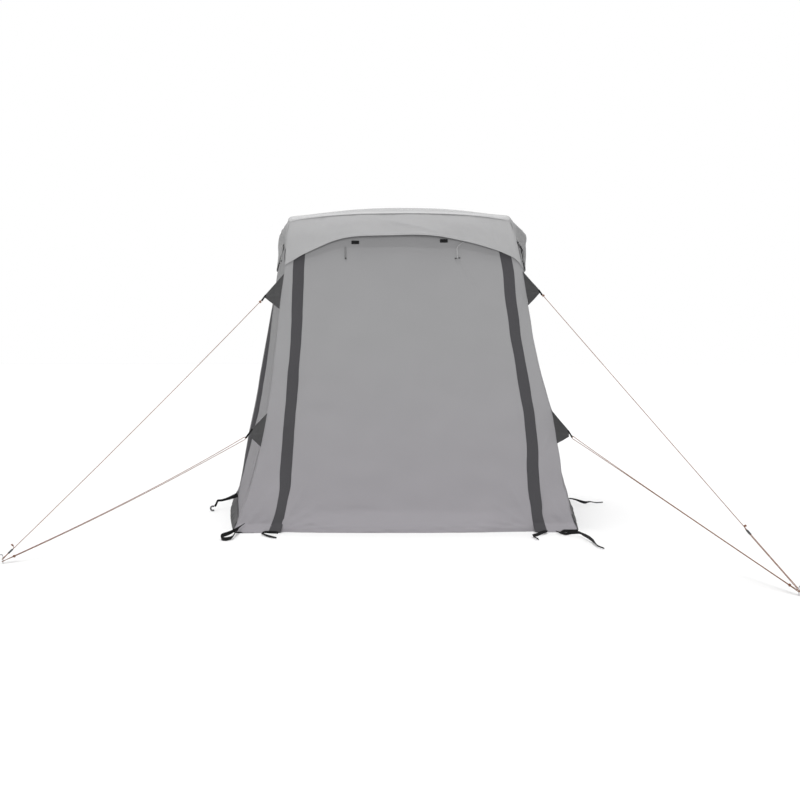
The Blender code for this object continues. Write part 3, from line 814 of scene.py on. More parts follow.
    def roof_height(self, x: Array, y: Array) -> Array:
        """The height of the roof's upper face.

        From side to side it is 1 - |a|^bow_power, and from front to rear 1 - b^2 times the crown.

        Args:
            x: places to the right.
            y: places towards the rear.

        Returns:
            The heights there.
        """
        front = self.lean * self.eave - self.overhang
        half = self.half_width(self.eave, y) + self.overhang
        a = np.clip((x - self.middle(self.eave, y)) / half, -1.0, 1.0)
        b = np.clip((2.0 * y - self.depth) / (self.depth - 2.0 * front), -1.0, 1.0)
        bow = 1.0 - np.abs(a) ** self.bow_power
        return self.eave + self.eave_tilt * a + bow * (self.end_bow + self.crown * (1.0 - b**2))

    def under_roof(self, place: Callable[[Array], Array]) -> Array:
        """The height at which a wall meets the roof, for a function that gives its points at a height."""
        top = place(np.asarray(self.eave))
        return self.roof_height(top[..., 0], top[..., 1]) - self.roof_gap


FORM = Form()


def uneven_rows(length: float, fine_until: float, fine: float, coarse: float) -> Array:
    """Places along a length from 0 to 1, close together up to a point and wider after it.

    Args:
        length: the whole length, in metres.
        fine_until: distance up to which they are close.
        fine: from one place to the next up to there.
        coarse: the same after it.

    Returns:
        The places, as shares of the length.
    """
    first = np.linspace(0.0, fine_until, max(2, round(fine_until / fine) + 1))
    rest = np.linspace(fine_until, length, max(2, round((length - fine_until) / coarse) + 1))
    return np.concatenate([first, rest[1:]]) / length


def level_normals(points: Array) -> Array:
    """The level outward directions of a wall: each step from column to column, turned right."""
    step = np.gradient(points, axis=1)
    return unit(np.stack([step[..., 1], -step[..., 0], np.zeros(step.shape[:2])], axis=-1))


def surface_normals(points: Array) -> Array:
    """The outward directions of a surface: the column step crossed with the row step."""
    return unit(np.cross(np.gradient(points, axis=1), np.gradient(points, axis=0)))


def grid_faces(rows: int, columns: int) -> Array:
    """Four corners for each cell of a grid of points, by number, turning left."""
    first = (np.arange(rows - 1)[:, None] * columns + np.arange(columns - 1)[None, :]).ravel()
    return np.stack([first, first + 1, first + columns + 1, first + columns], axis=1)


def rim_loop(rows: int, columns: int) -> Array:
    """The numbers of a grid's outermost points, once round."""
    numbers = np.arange(rows * columns).reshape(rows, columns)
    return np.concatenate([numbers[0, :-1], numbers[:-1, -1], numbers[-1, :0:-1], numbers[:0:-1, 0]])


def add_mesh(
    name: str, points: Array, faces: Array, maps: Array, finish: Finish, sharp: float = 40.0,
) -> bpy.types.Object:
    """Makes a mesh object from whole arrays.

    Args:
        name: the piece's name.
        points: its points, n by 3.
        faces: its faces, by the numbers of their points.
        maps: the place on the cloth of each corner of each face, in metres.
        finish: what it is made of.
        sharp: edges that bend more than this many degrees stay crisp.

    Returns:
        The object, at the origin.
    """
    mesh = bpy.data.meshes.new(name)
    mesh.vertices.add(len(points))
    mesh.vertices.foreach_set("co", np.ascontiguousarray(points, np.float32).ravel())
    mesh.loops.add(faces.size)
    mesh.loops.foreach_set("vertex_index", np.ascontiguousarray(faces, np.int32).ravel())
    mesh.polygons.add(len(faces))
    mesh.polygons.foreach_set("loop_start", np.arange(0, faces.size, faces.shape[1], dtype=np.int32))
    layer = mesh.uv_layers.new(name=CLOTH_MAP)
    layer.data.foreach_set("uv", np.ascontiguousarray(maps, np.float32).ravel())
    mesh.update(calc_edges=True)
    mesh.validate()
    mesh.materials.append(finish.material())
    mesh.shade_smooth()
    mesh.set_sharp_from_angle(angle=math.radians(sharp))
    piece = bpy.data.objects.new(name, mesh)
    bpy.context.scene.collection.objects.link(piece)
    return piece


def add_sheet(name: str, outer: Array, inner: Array, places: Array, finish: Finish) -> bpy.types.Object:
    """Makes a closed sheet between two grids of points.

    Args:
        name: the piece's name.
        outer: the outer face, rows by columns by 3, which turns left seen from outside.
        inner: the inner face, in the same order.
        places: the place on the cloth of each point, rows by columns by 2.
        finish: what it is made of.

    Returns:
        The object.
    """
    rows, columns, _ = outer.shape
    count = rows * columns
    front = grid_faces(rows, columns)
    rim = rim_loop(rows, columns)
    ahead = np.roll(rim, -1)
    edge = np.stack([ahead, rim, rim + count, ahead + count], axis=1)
    faces = np.concatenate([front, front[:, ::-1] + count, edge])
    points = np.concatenate([outer.reshape(-1, 3), inner.reshape(-1, 3)])
    both = np.concatenate([places.reshape(-1, 2), places.reshape(-1, 2)])
    return add_mesh(name, points, faces, both[faces], finish)


def circles(path: Array, radii: Array, first: Array, second: Array, sides: int) -> Array:
    """Rings of points about a path: centre + r (cos t * first + sin t * second).

    Args:
        path: the centres.
        radii: one for each centre.
        first: a direction across the path, one for all or one for each centre.
        second: the direction a quarter turn from it.
        sides: points in each ring.

    Returns:
        Rings by points by 3.
    """
    turn = np.linspace(0.0, 2.0 * math.pi, sides, endpoint=False)[None, :, None]
    first, second = (np.broadcast_to(way, path.shape)[:, None] for way in (first, second))
    return path[:, None] + radii[:, None, None] * (np.cos(turn) * first + np.sin(turn) * second)


def add_tube(
    name: str, path: Array, radius: Array | float, sides: int, finish: Finish, hint: Array,
    closed: bool = False,
) -> bpy.types.Object:
    """Carries a circle along a path, square to it, with round ends unless it closes on itself.

    Args:
        name: the piece's name.
        path: the points it follows.
        radius: its radius, one for all or one for each point.
        sides: points in each ring.
        finish: what it is made of.
        hint: a direction that the path never runs along, one for all or one for each point.
        closed: whether the last point joins the first.

    Returns:
        The object.
    """
    path = np.asarray(path, float)
    radii = np.broadcast_to(np.asarray(radius, float), (len(path),)).copy()
    if closed:
        ahead = unit(np.roll(path, -1, axis=0) - np.roll(path, 1, axis=0))
    else:
        ahead = unit(np.gradient(path, axis=0))
        turns = np.linspace(0.0, math.pi / 2.0, 5)[1:, None]
        start = path[0] - ahead[0] * radii[0] * np.sin(turns)[::-1]
        end = path[-1] + ahead[-1] * radii[-1] * np.sin(turns)
        shrink = np.maximum(np.cos(turns[:, 0]), 0.02)
        path = np.concatenate([start, path, end])
        ahead = np.concatenate([np.repeat(ahead[:1], 4, 0), ahead, np.repeat(ahead[-1:], 4, 0)])
        hint = np.broadcast_to(hint, (len(path) - 8, 3))
        hint = np.concatenate([np.repeat(hint[:1], 4, 0), hint, np.repeat(hint[-1:], 4, 0)])
        radii = np.concatenate([radii[0] * shrink[::-1], radii, radii[-1] * shrink])
    hint = np.broadcast_to(hint, path.shape)
    sideways = unit(hint - ahead * np.sum(hint * ahead, axis=1, keepdims=True))
    return add_rings(name, circles(path, radii, sideways, np.cross(ahead, sideways), sides), finish, closed)


def add_rings(name: str, rings: Array, finish: Finish, closed: bool = False) -> bpy.types.Object:
    """Joins rings of points into a skin, whose ends are filled or joined to each other.

    Args:
        name: the piece's name.
        rings: rings by points by 3, turning left seen from the last ring.
        finish: what it is made of.
        closed: whether the last ring joins the first.

    Returns:
        The object.
    """
    count, sides, _ = rings.shape
    numbers = np.pad(np.arange(count * sides).reshape(count, sides), ((0, int(closed)), (0, 1)), mode="wrap")
    loop = rings.reshape(-1, 3)[numbers]
    across, up = run_along(loop), run_along(loop.swapaxes(0, 1)).T
    up = np.repeat(up.mean(axis=1, keepdims=True), sides + 1, axis=1)
    across = np.repeat(across.max(axis=0, keepdims=True), len(loop), axis=0)
    flat = np.stack([across, up], axis=-1).reshape(-1, 2)
    cells = grid_faces(len(numbers), sides + 1)
    faces, maps = numbers.ravel()[cells], flat[cells]
    if not closed:
        half = sides // 2
        for ring, order in ((0, -1), (count - 1, 1)):
            there, back = numbers[ring, :half], numbers[ring, sides - 1:sides - 1 - half:-1]
            strips = np.stack([there[:-1], there[1:], back[1:], back[:-1]], axis=1)[:, ::order]
            faces = np.concatenate([faces, strips])
            maps = np.concatenate([maps, np.zeros((len(strips), 4, 2))])
    return add_mesh(name, rings.reshape(-1, 3), faces, maps, finish)


def add_ribbon(
    name: str, path: Array, width_way: Array, width: Array | float, thickness: float, finish: Finish,
) -> bpy.types.Object:
    """Carries a flat tape with soft edges along a path.

    Its thickness at a share w of the half width is thickness * (1 - w^6)^0.5.

    Args:
        name: the piece's name.
        path: the points it follows.
        width_way: the direction across the tape, one for all or one for each point.
        width: its width, one for all or one for each point.
        thickness: how thick it is in the middle.
        finish: what it is made of.

    Returns:
        The object.
    """
    path = np.asarray(path, float)
    ahead = unit(np.gradient(path, axis=0))
    way = np.broadcast_to(width_way, path.shape)
    way = unit(way - ahead * np.sum(way * ahead, axis=1, keepdims=True))
    face = np.cross(way, ahead)
    shares = np.array([-1.0, -0.96, -0.85, -0.5, 0.0, 0.5, 0.85, 0.96, 1.0])
    depth = thickness / 2.0 * np.maximum(np.sqrt(1.0 - np.abs(shares) ** 6), 0.15)
    half = np.broadcast_to(np.asarray(width, float) / 2.0, (len(path),))[:, None]
    centre = path[:, None] + way[:, None] * (half * shares)[..., None]
    lift = face[:, None] * depth[None, :, None]
    run = np.repeat(run_along(path)[:, None], len(shares), axis=1)
    places = np.stack([half * shares, run], axis=-1)
    return add_sheet(name, centre + lift, centre - lift, places, finish)


def dress(piece: bpy.types.Object, slot: Slot, *nodes: str) -> bpy.types.Object:
    """Fixes a finished piece to the shelter.

    Args:
        piece: the piece.
        slot: the finish that the record names for it; not used.
        nodes: the plain solids that it stands for.

    Returns:
        The piece.
    """
    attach(piece, BODY)
    if nodes:
        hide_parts(*nodes)
    faces = len(piece.data.polygons)
    LOG.info("%s: %d faces, for %s", piece.name, faces, ", ".join(nodes) or "detail")
    return piece


@dataclass
class ClothPiece:
    """A cut of cloth that is laid on the shelter's form: its smooth shape, and the relief on top of it."""

    name: str  # the piece's name
    shape: Array  # its smooth shape, rows by columns by 3
    relief: Array  # how far each point stands out from that
    normals: Array  # the directions in which it stands out, or one for the whole cloth
    thickness: Array | float  # of the cloth
    places: tuple[Array, Array]  # how far across and how far up the cloth each point is

    def __post_init__(self) -> None:
        """Gives every point its own direction."""
        self.normals = np.broadcast_to(self.normals, self.shape.shape)

    def face(self) -> Array:
        """The outer face: the shape plus the relief and half the thickness along the normals."""
        return self.shape + self.normals * (self.relief + self.thickness / 2.0)[..., None]

    def make(self, finish: Finish) -> bpy.types.Object:
        """Makes the closed sheet.

        Args:
            finish: what it is made of.

        Returns:
            The piece.
        """
        outer = self.face()
        inner = outer - self.normals * np.asarray(self.thickness)[..., None]
        places = np.stack(np.broadcast_arrays(*self.places), axis=-1)
        return add_sheet(self.name, outer, inner, places, finish)

    def flat_size(self) -> tuple[Pair, float]:
        """The size it was cut to: the widest row and longest column, and the area of its smooth shape.

        Returns:
            Its width and length, and its area.
        """
        across, up = run_along(self.shape)[:, -1], run_along(self.shape.swapaxes(0, 1))[:, -1]
        down, right = np.diff(self.shape, axis=0)[:, :-1], np.diff(self.shape, axis=1)[:-1]
        area = float(np.linalg.norm(np.cross(down, right), axis=-1).sum())
        width, length = float(across.max()), float(up.max())
        return (round(width, 3), round(length, 3)), min(area, width * length)

    def hang(
        self, finish: Finish, slot: Slot, node: str, rests_on: Sequence[str], held: str = "hung",
        cut: Pair | None = None,
    ) -> None:
        """Makes the sheet, fixes it to the shelter, and states its flat size.

        Args:
            finish: what it is made of.
            slot: the finish that the record names for it.
            node: the plain solid that it stands for.
            rests_on: the pieces that hold it; not used.
            held: how they do; not used.
            cut: its flat size, where that isn't the measured one.
        """
        piece = dress(self.make(finish), slot, node)
        flat, area = self.flat_size()
        flat = cut or flat
        LOG.info("%s: cut %.3f by %.3f m, %.4f square metres", self.name, *flat, area)

    def row_line(self, row: float, columns: slice = slice(None)) -> tuple[Array, Array]:
        """The points and normals of the outer face along a row, which may lie between two.

        Args:
            row: the row's number, with a fraction.
            columns: the columns to take.

        Returns:
            The points and their normals.
        """
        low = min(int(row), len(self.shape) - 2)
        face, share = self.face(), row - low
        return (face[low] * (1 - share) + face[low + 1] * share)[columns], self.normals[low][columns]

    def column_line(self, column: float, rows: slice = slice(None)) -> tuple[Array, Array]:
        """The points and normals of the outer face up a column, which may lie between two.

        Args:
            column: the column's number, with a fraction.
            rows: the rows to take.

        Returns:
            The points and their normals.
        """
        low = min(int(column), self.shape.shape[1] - 2)
        face, share = self.face(), column - low
        return (face[:, low] * (1 - share) + face[:, low + 1] * share)[rows], self.normals[:, low][rows]


@dataclass
class Stitching:
    """Rows of machine stitches, gathered for one part of the shelter."""

    name: str  # the piece's name
    slot: Slot  # the finish that the record names for it
    finish: Finish  # of the thread
    pitch: float = 0.0048  # from one stitch to the next
    length: float = 0.0034  # of a stitch
    width: float = 0.0009  # of a stitch
    lines: list[tuple[Array, Array]] = field(default_factory=list)  # the points and normals of each row

    def along(self, points: Array, normals: Array) -> None:
        """Adds a row of stitches along a line on the cloth."""
        self.lines.append((points, normals))

    def make(self) -> bpy.types.Object:
        """Makes every stitch a small spindle, half sunk in the cloth, all in one mesh.

        Returns:
            The piece.
        """
        centres, ahead, out = [], [], []
        for points, normals in self.lines:
            run = run_along(points)
            at = np.arange(self.pitch, run[-1] - self.pitch, self.pitch)
            spot, next_spot, out_way = (
                np.stack([np.interp(where, run, column) for column in values.T], axis=-1)
                for where, values in ((at, points), (at + 0.001, points), (at, normals))
            )
            centres.append(spot)
            ahead.append(unit(next_spot - spot))
            out.append(unit(out_way))
        centre, forward, lift = np.concatenate(centres), np.concatenate(ahead), np.concatenate(out)
        aside = np.cross(forward, lift)
        corners = np.stack([
            -forward * self.length / 2, aside * self.width / 2, lift * self.width * 0.55,
            -aside * self.width / 2, -lift * self.width * 0.45, forward * self.length / 2,
        ], axis=1) + centre[:, None]
        one = np.array([
            (0, 1, 2), (0, 2, 3), (0, 3, 4), (0, 4, 1), (5, 2, 1), (5, 3, 2), (5, 4, 3), (5, 1, 4),
        ])
        faces = (one[None] + 6 * np.arange(len(centre))[:, None, None]).reshape(-1, 3)
        along = np.array([0.0, 0.5, 0.5, 0.5, 0.5, 1.0]) * self.length
        maps = np.stack([np.zeros(6), along], axis=-1)[faces % 6]
        piece = add_mesh(self.name, corners.reshape(-1, 3), faces, maps, self.finish, sharp=179.0)
        return dress(piece, self.slot)


@dataclass(frozen=True)
class RearDent:
    """The left wall's inward bend near its rear corner, over which the zip cover stands out."""

    strength: Knots = (  # height, and the share of the full bend there
        (0.1, 0.0), (0.28, 0.22), (0.47, 0.63), (0.63, 0.82), (0.87, 1.0), (1.0, 0.96), (1.26, 0.7),
        (1.42, 0.41), (1.53, 0.22), (1.9, 0.0),
    )
    # Distance from the rear corner, and how far the full bend goes in.
    depth: Knots = ((0.0, 0.01), (0.11, 0.012), (0.18, 0.036), (0.3, 0.034), (0.73, 0.018), (1.25, 0.0))
    cover: Pair = (0.005, 0.034)  # how far in the zip cover lies, at its rear edge and at its front edge

    def inward(self, distance: Array, height: Array) -> Array:
        """How far in the wall is, that far from the rear corner at that height."""
        return smooth_curve(self.depth, distance) * smooth_curve(self.strength, height)

    def cover_inward(self, share: Array, height: Array) -> Array:
        """How far in the zip cover is, at a share from -1 at its rear edge to 1 at its front edge."""
        return np.interp(share, (-1.0, 1.0), self.cover) * smooth_curve(self.strength, height)


REAR_DENT = RearDent()


@dataclass(frozen=True)
class SideFold:
    """The shallow inward fold of both side walls behind the front corners, where their zip covers lie."""

    depth: float = 0.011  # how far it goes in
    shoulders: Pair = (0.045, 0.085)  # distances from the zip, between which the wall comes out again
    rear_start: Pair = (1.46, 1.6)  # heights between which the fold by the rear corner begins
    top: Pair = (1.78, 1.87)  # heights between which both folds end, under the hoods
    corner_fade: float = 0.03  # distance from the corner within which the fold begins

    def inward(self, distance: Array, height: Array) -> Array:
        """How far in the wall is, that far from the front corner at that height.

        Args:
            distance: distances from the corner.
            height: heights above the ground.

        Returns:
            The distances inwards.
        """
        past_zip = np.abs(distance - FORM.seam_distance(height))
        under_hood = 1.0 - smooth_step(*self.top, height)
        fold = 1.0 - smooth_step(*self.shoulders, past_zip)
        return self.depth * fold * smooth_step(0.0, self.corner_fade, distance) * under_hood

    def inward_at_rear(self, distance: Array, height: Array) -> Array:
        """The same that far from the rear corner, where the fold is only above the rear dent."""
        return self.inward(distance, height) * smooth_step(*self.rear_start, height)


SIDE_FOLD = SideFold()


@dataclass
class Walls:
    """The panels between the zips and the cloth that goes round the corners."""

    cell: float = 0.0145  # size of the cloth's cells
    thickness: float = 0.0026  # of the cloth
    hem_height: float = 0.04  # of the folded hem
    hem_rise: float = 0.0009  # how far the hem stands out
    kick: float = 0.042  # how far the foot of the front corners reaches forwards
    kick_height: float = 0.06  # below which it does
    bow: float = 0.055  # how far the front panel's hem bows forwards in its middle
    bow_height: float = 0.15  # below which it does
    stitch_heights: Pair = (0.02, 0.036)  # of the two rows along the hem
    calm_seam: Pair = (0.03, 0.085)  # distances from a zip between which a panel's relief begins
    calm_corner: Pair = (0.03, 0.06)  # the same for the corners' cloth
    calm_top: Pair = (2.02, 2.1)  # heights between which all relief ends, under the roof
    zip_gap: float = 0.0003  # half the gap in the cloth at a zip
    fans: tuple[Triple, ...] = (  # reach, rise and width of the creases that fan out from a panel's two feet
        (0.3, 0.2, 0.014), (0.38, 0.1, 0.011), (0.2, 0.34, 0.014), (0.5, 0.05, 0.009),
    )
    creases: tuple[Crease, ...] = (  # the other creases of a panel
        Crease((0.36, 1.85), (0.5, 1.6), 0.011, -0.0048),
        Crease((0.33, 1.86), (0.47, 1.58), 0.014, 0.003),
        Crease((-0.2, 0.1), (0.34, 0.06), 0.011, 0.0018),
        Crease((-0.55, 0.17), (0.02, 0.12), 0.013, -0.0014),
    )
    corner_welt: float = 0.0005  # how far the seam down each corner stands out
    # Foot, rise and width of the creases that fan out from a corner's foot.
    corner_fans: tuple[Triple, ...] = ((0.2, 0.26, 0.012), (0.15, 0.15, 0.01), (0.23, 0.42, 0.014))
    # Start, end, width and height of the other creases beside a corner.
    corner_creases: tuple[tuple[Pair, Pair, float, float], ...] = (
        ((0.02, 0.68), (0.12, 0.52), 0.012, 0.0024), ((0.02, 1.6), (0.1, 1.42), 0.011, 0.002),
    )

    def hem(self, up: Array) -> Array:
        """The folded hem: the cloth steps out by one thickness below the hem's height."""
        return self.hem_rise * (1.0 - smooth_step(self.hem_height - 0.002, self.hem_height + 0.002, up))

    def forward(self, up: Array) -> Array:
        """How far the foot of the front corners' cloth reaches forwards over the ground."""
        return self.kick * (1.0 - smooth_step(0.0, self.kick_height, up))

    def rows(self) -> Array:
        """Shares of a wall's height, closer together in the hem."""
        return uneven_rows(2.15, 0.066, 0.0045, self.cell)

    def stitch_hem(self, cloth: ClothPiece, stitching: Stitching) -> None:
        """Adds the two rows of stitches along a hem.

        Args:
            cloth: the cloth with the hem.
            stitching: takes the rows.
        """
        heights = cloth.shape[:, 0, 2]
        for height in self.stitch_heights:
            stitching.along(*cloth.row_line(float(np.interp(height, heights, np.arange(len(heights))))))

    def panel_relief(self, side: Side, across: Array, up: Array, edge: Array) -> Array:
        """How far a panel's cloth stands out.

        It is billows, plus creases that fan out from the two foot corners and the ties, plus puckers
        along the zips and ripples above the hem, all calm under the zip covers.

        Args:
            side: which side it closes.
            across: places across the panel from its middle, in metres.
            up: heights above the ground.
            edge: distances from the nearer zip.

        Returns:
            The relief, in metres.
        """
        seed = 100 * (side + 1)
        half = float(across.max())
        total = Ripples(seed, 0.0035, 0.55, 1.6).relief(across, up)
        total = total + Ripples(seed + 1, 0.0012, 0.16, 0.4, 0.8).relief(across, up) * (1.2 - 0.35 * up)
        hem_fade = np.exp(-((up / 0.13) ** 2))
        total = total + Ripples(seed + 2, 0.0016, 0.05, 0.15, 0.55).relief(across, up) * hem_fade
        total = total + Puckers(seed + 3, 0.0011, 0.055).relief(up, edge)
        feet = [(hand, hand * (half - 0.02)) for hand in (-1, 1)]
        fanned = [
            Crease((foot, 0.015), (foot - hand * reach, rise), width, 0.003)
            for hand, foot in feet for reach, rise, width in self.fans
        ]
        for crease in (*fanned, *self.creases):
            total = total + crease.relief(across, up)
        calm = smooth_step(*self.calm_seam, edge)
        top = 1.0 - smooth_step(*self.calm_top, up)
        return total * calm * top

    def build_panel(self, side: Side, stitching: Stitching) -> None:
        """Builds the cloth panel between a side's two zips.

        A point at share u across and v up is the first zip plus u times the way to the second, at v
        times the height where the roof begins.

        Args:
            side: which side it closes.
            stitching: takes its rows of stitches.
        """
        columns = round(float(FORM.length(side, 0.6)) / self.cell)
        u = np.linspace(0.0, 1.0, columns)

        def place(height: Array) -> Array:
            """The panel's row of points at one height for each column, from zip to zip.

            Args:
                height: the heights.

            Returns:
                The points, with a last axis of 3.
            """
            edge = FORM.seam_distance(height) + self.zip_gap
            start = FORM.from_corner(side, False, edge, height)
            end = FORM.from_corner(side, True, edge, height)
            return start + (end - start) * u[:, None]

        top = FORM.under_roof(lambda height: place(np.full(columns, float(height))))
        shape = np.stack([place(v * top) for v in self.rows()])
        width = np.linalg.norm(shape[:, -1] - shape[:, 0], axis=-1)[:, None]
        across, up = (u - 0.5)[None, :] * width, shape[..., 2]
        edge = np.minimum(u, 1.0 - u)[None, :] * width
        relief = self.panel_relief(side, across, up, edge) + self.hem(up)
        if side == Side.FRONT:
            bow = self.bow * (1.0 - (2.0 * u[None, :] - 1.0) ** 2)
            shape[..., 1] -= bow * (1.0 - smooth_step(0.0, self.bow_height, up))
        past_start = u[None, :] * width + FORM.seam_distance(up)
        if side == Side.LEFT:
            relief = relief - REAR_DENT.inward(past_start, up)
            relief = relief - SIDE_FOLD.inward((1.0 - u)[None, :] * width + FORM.seam_distance(up), up)
            relief = relief - SIDE_FOLD.inward_at_rear(past_start, up)
        if side == Side.RIGHT:
            relief = relief - SIDE_FOLD.inward(past_start, up)
        name, out = f"{side.label}_door_cloth", FORM.outward(side)
        cloth = ClothPiece(name, shape, relief, out, self.thickness, (across, up))
        cloth.hang(Finishes.wall, Slot.GREY_CLOTH, f"{side.label}_door_panel", ["roof"])
        self.stitch_hem(cloth, stitching)

    def corner_relief(self, corner: int, across: Array, up: Array, edge: Array) -> Array:
        """How far the cloth round a corner stands out.

        It is billows, most at the foot, plus creases that fan out from the foot on both sides, plus
        puckers along the zips and a welt down the corner.

        Args:
            corner: the number of the side that starts there.
            across: distances past the corner, below zero on the side before it.
            up: heights above the ground.
            edge: distances from the nearer zip.

        Returns:
            The relief, in metres.
        """
        seed = 1000 * (corner + 1)
        low = 0.35 + 0.9 * np.exp(-((up / 0.45) ** 2))
        total = Ripples(seed, 0.003, 0.18, 0.6, 1.3).relief(across, up) * low
        foot_fade = np.exp(-((up / 0.16) ** 2))
        total = total + Ripples(seed + 1, 0.0016, 0.05, 0.14, 0.8).relief(across, up) * foot_fade
        total = total + Puckers(seed + 2, 0.001, 0.045).relief(up, edge)
        fans = tuple(((0.03, 0.02), (foot, rise), width, 0.0028) for foot, rise, width in self.corner_fans)
        for hand in (-1, 1):
            for start, end, width, depth in fans + self.corner_creases:
                crease = Crease((hand * start[0], start[1]), (hand * end[0], end[1]), width, depth)
                total = total + crease.relief(across, up)
        calm = smooth_step(*self.calm_corner, edge) * (1.0 - smooth_step(*self.calm_top, up))
        return total * calm + self.corner_welt * np.exp(-((across / 0.0045) ** 4))

    def build_corner(self, corner: int, stitching: Stitching) -> None:
        """Builds the cloth that goes round a corner from one zip to the next.

        A point at share t is that share of the way round, bent within the corner's radius.

        Args:
            corner: the number of the side that starts there.
            stitching: takes its rows of stitches.
        """
        shares = np.concatenate([
            np.linspace(-1.0, -0.2, 12, endpoint=False), np.linspace(-0.2, 0.2, 21),
            np.linspace(0.2, 1.0, 13)[1:],
        ])

        def place(height: Array) -> Array:
            """The row of points round the corner, at one height for each column."""
            edge = FORM.seam_distance(height) - self.zip_gap
            return FORM.round_corner(corner, shares * edge, height)

        top = FORM.under_roof(lambda height: place(np.full(len(shares), float(height))))
        shape = np.stack([place(v * top) for v in self.rows()])
        up = shape[..., 2]
        across = shares[None, :] * FORM.seam_distance(up)
        edge = (1.0 - np.abs(shares))[None, :] * FORM.seam_distance(up)
        relief = self.corner_relief(corner, across, up, edge) + self.hem(up)
        if corner in (Side.FRONT, Side.RIGHT):
            shape[..., 1] -= self.forward(up) * smooth_step(0.0, 0.025, edge)
            hand = -1.0 if corner == Side.FRONT else 1.0
            relief = relief - SIDE_FOLD.inward(np.maximum(hand * across, 0.0), up)
        if corner == Side.LEFT:
            past = 1.0 - smooth_step(0.0, 0.08, -across)
            relief = relief - REAR_DENT.inward(np.maximum(across, 0.0), up) * past
            relief = relief - SIDE_FOLD.inward_at_rear(np.maximum(across, 0.0), up)
        name = CORNER_NAMES[corner]
        normals = level_normals(shape)
        cloth = ClothPiece(f"{name}_corner_cloth", shape, relief, normals, self.thickness, (across, up))
        cloth.hang(Finishes.wall, Slot.GREY_CLOTH, f"{name}_corner_wall", ["roof"])
        self.stitch_hem(cloth, stitching)
        middle = (len(shares) - 1) / 2.0
        for aside in (-1.4, 1.4):
            stitching.along(*cloth.column_line(middle + aside))

    def build(self) -> None:
        """Builds the four panels and four corners, and their stitches."""
        stitching = Stitching("wall_stitching", Slot.GREY_CLOTH, Finishes.thread)
        for side in Side:
            self.build_panel(side, stitching)
            self.build_corner(side, stitching)
        stitching.make()


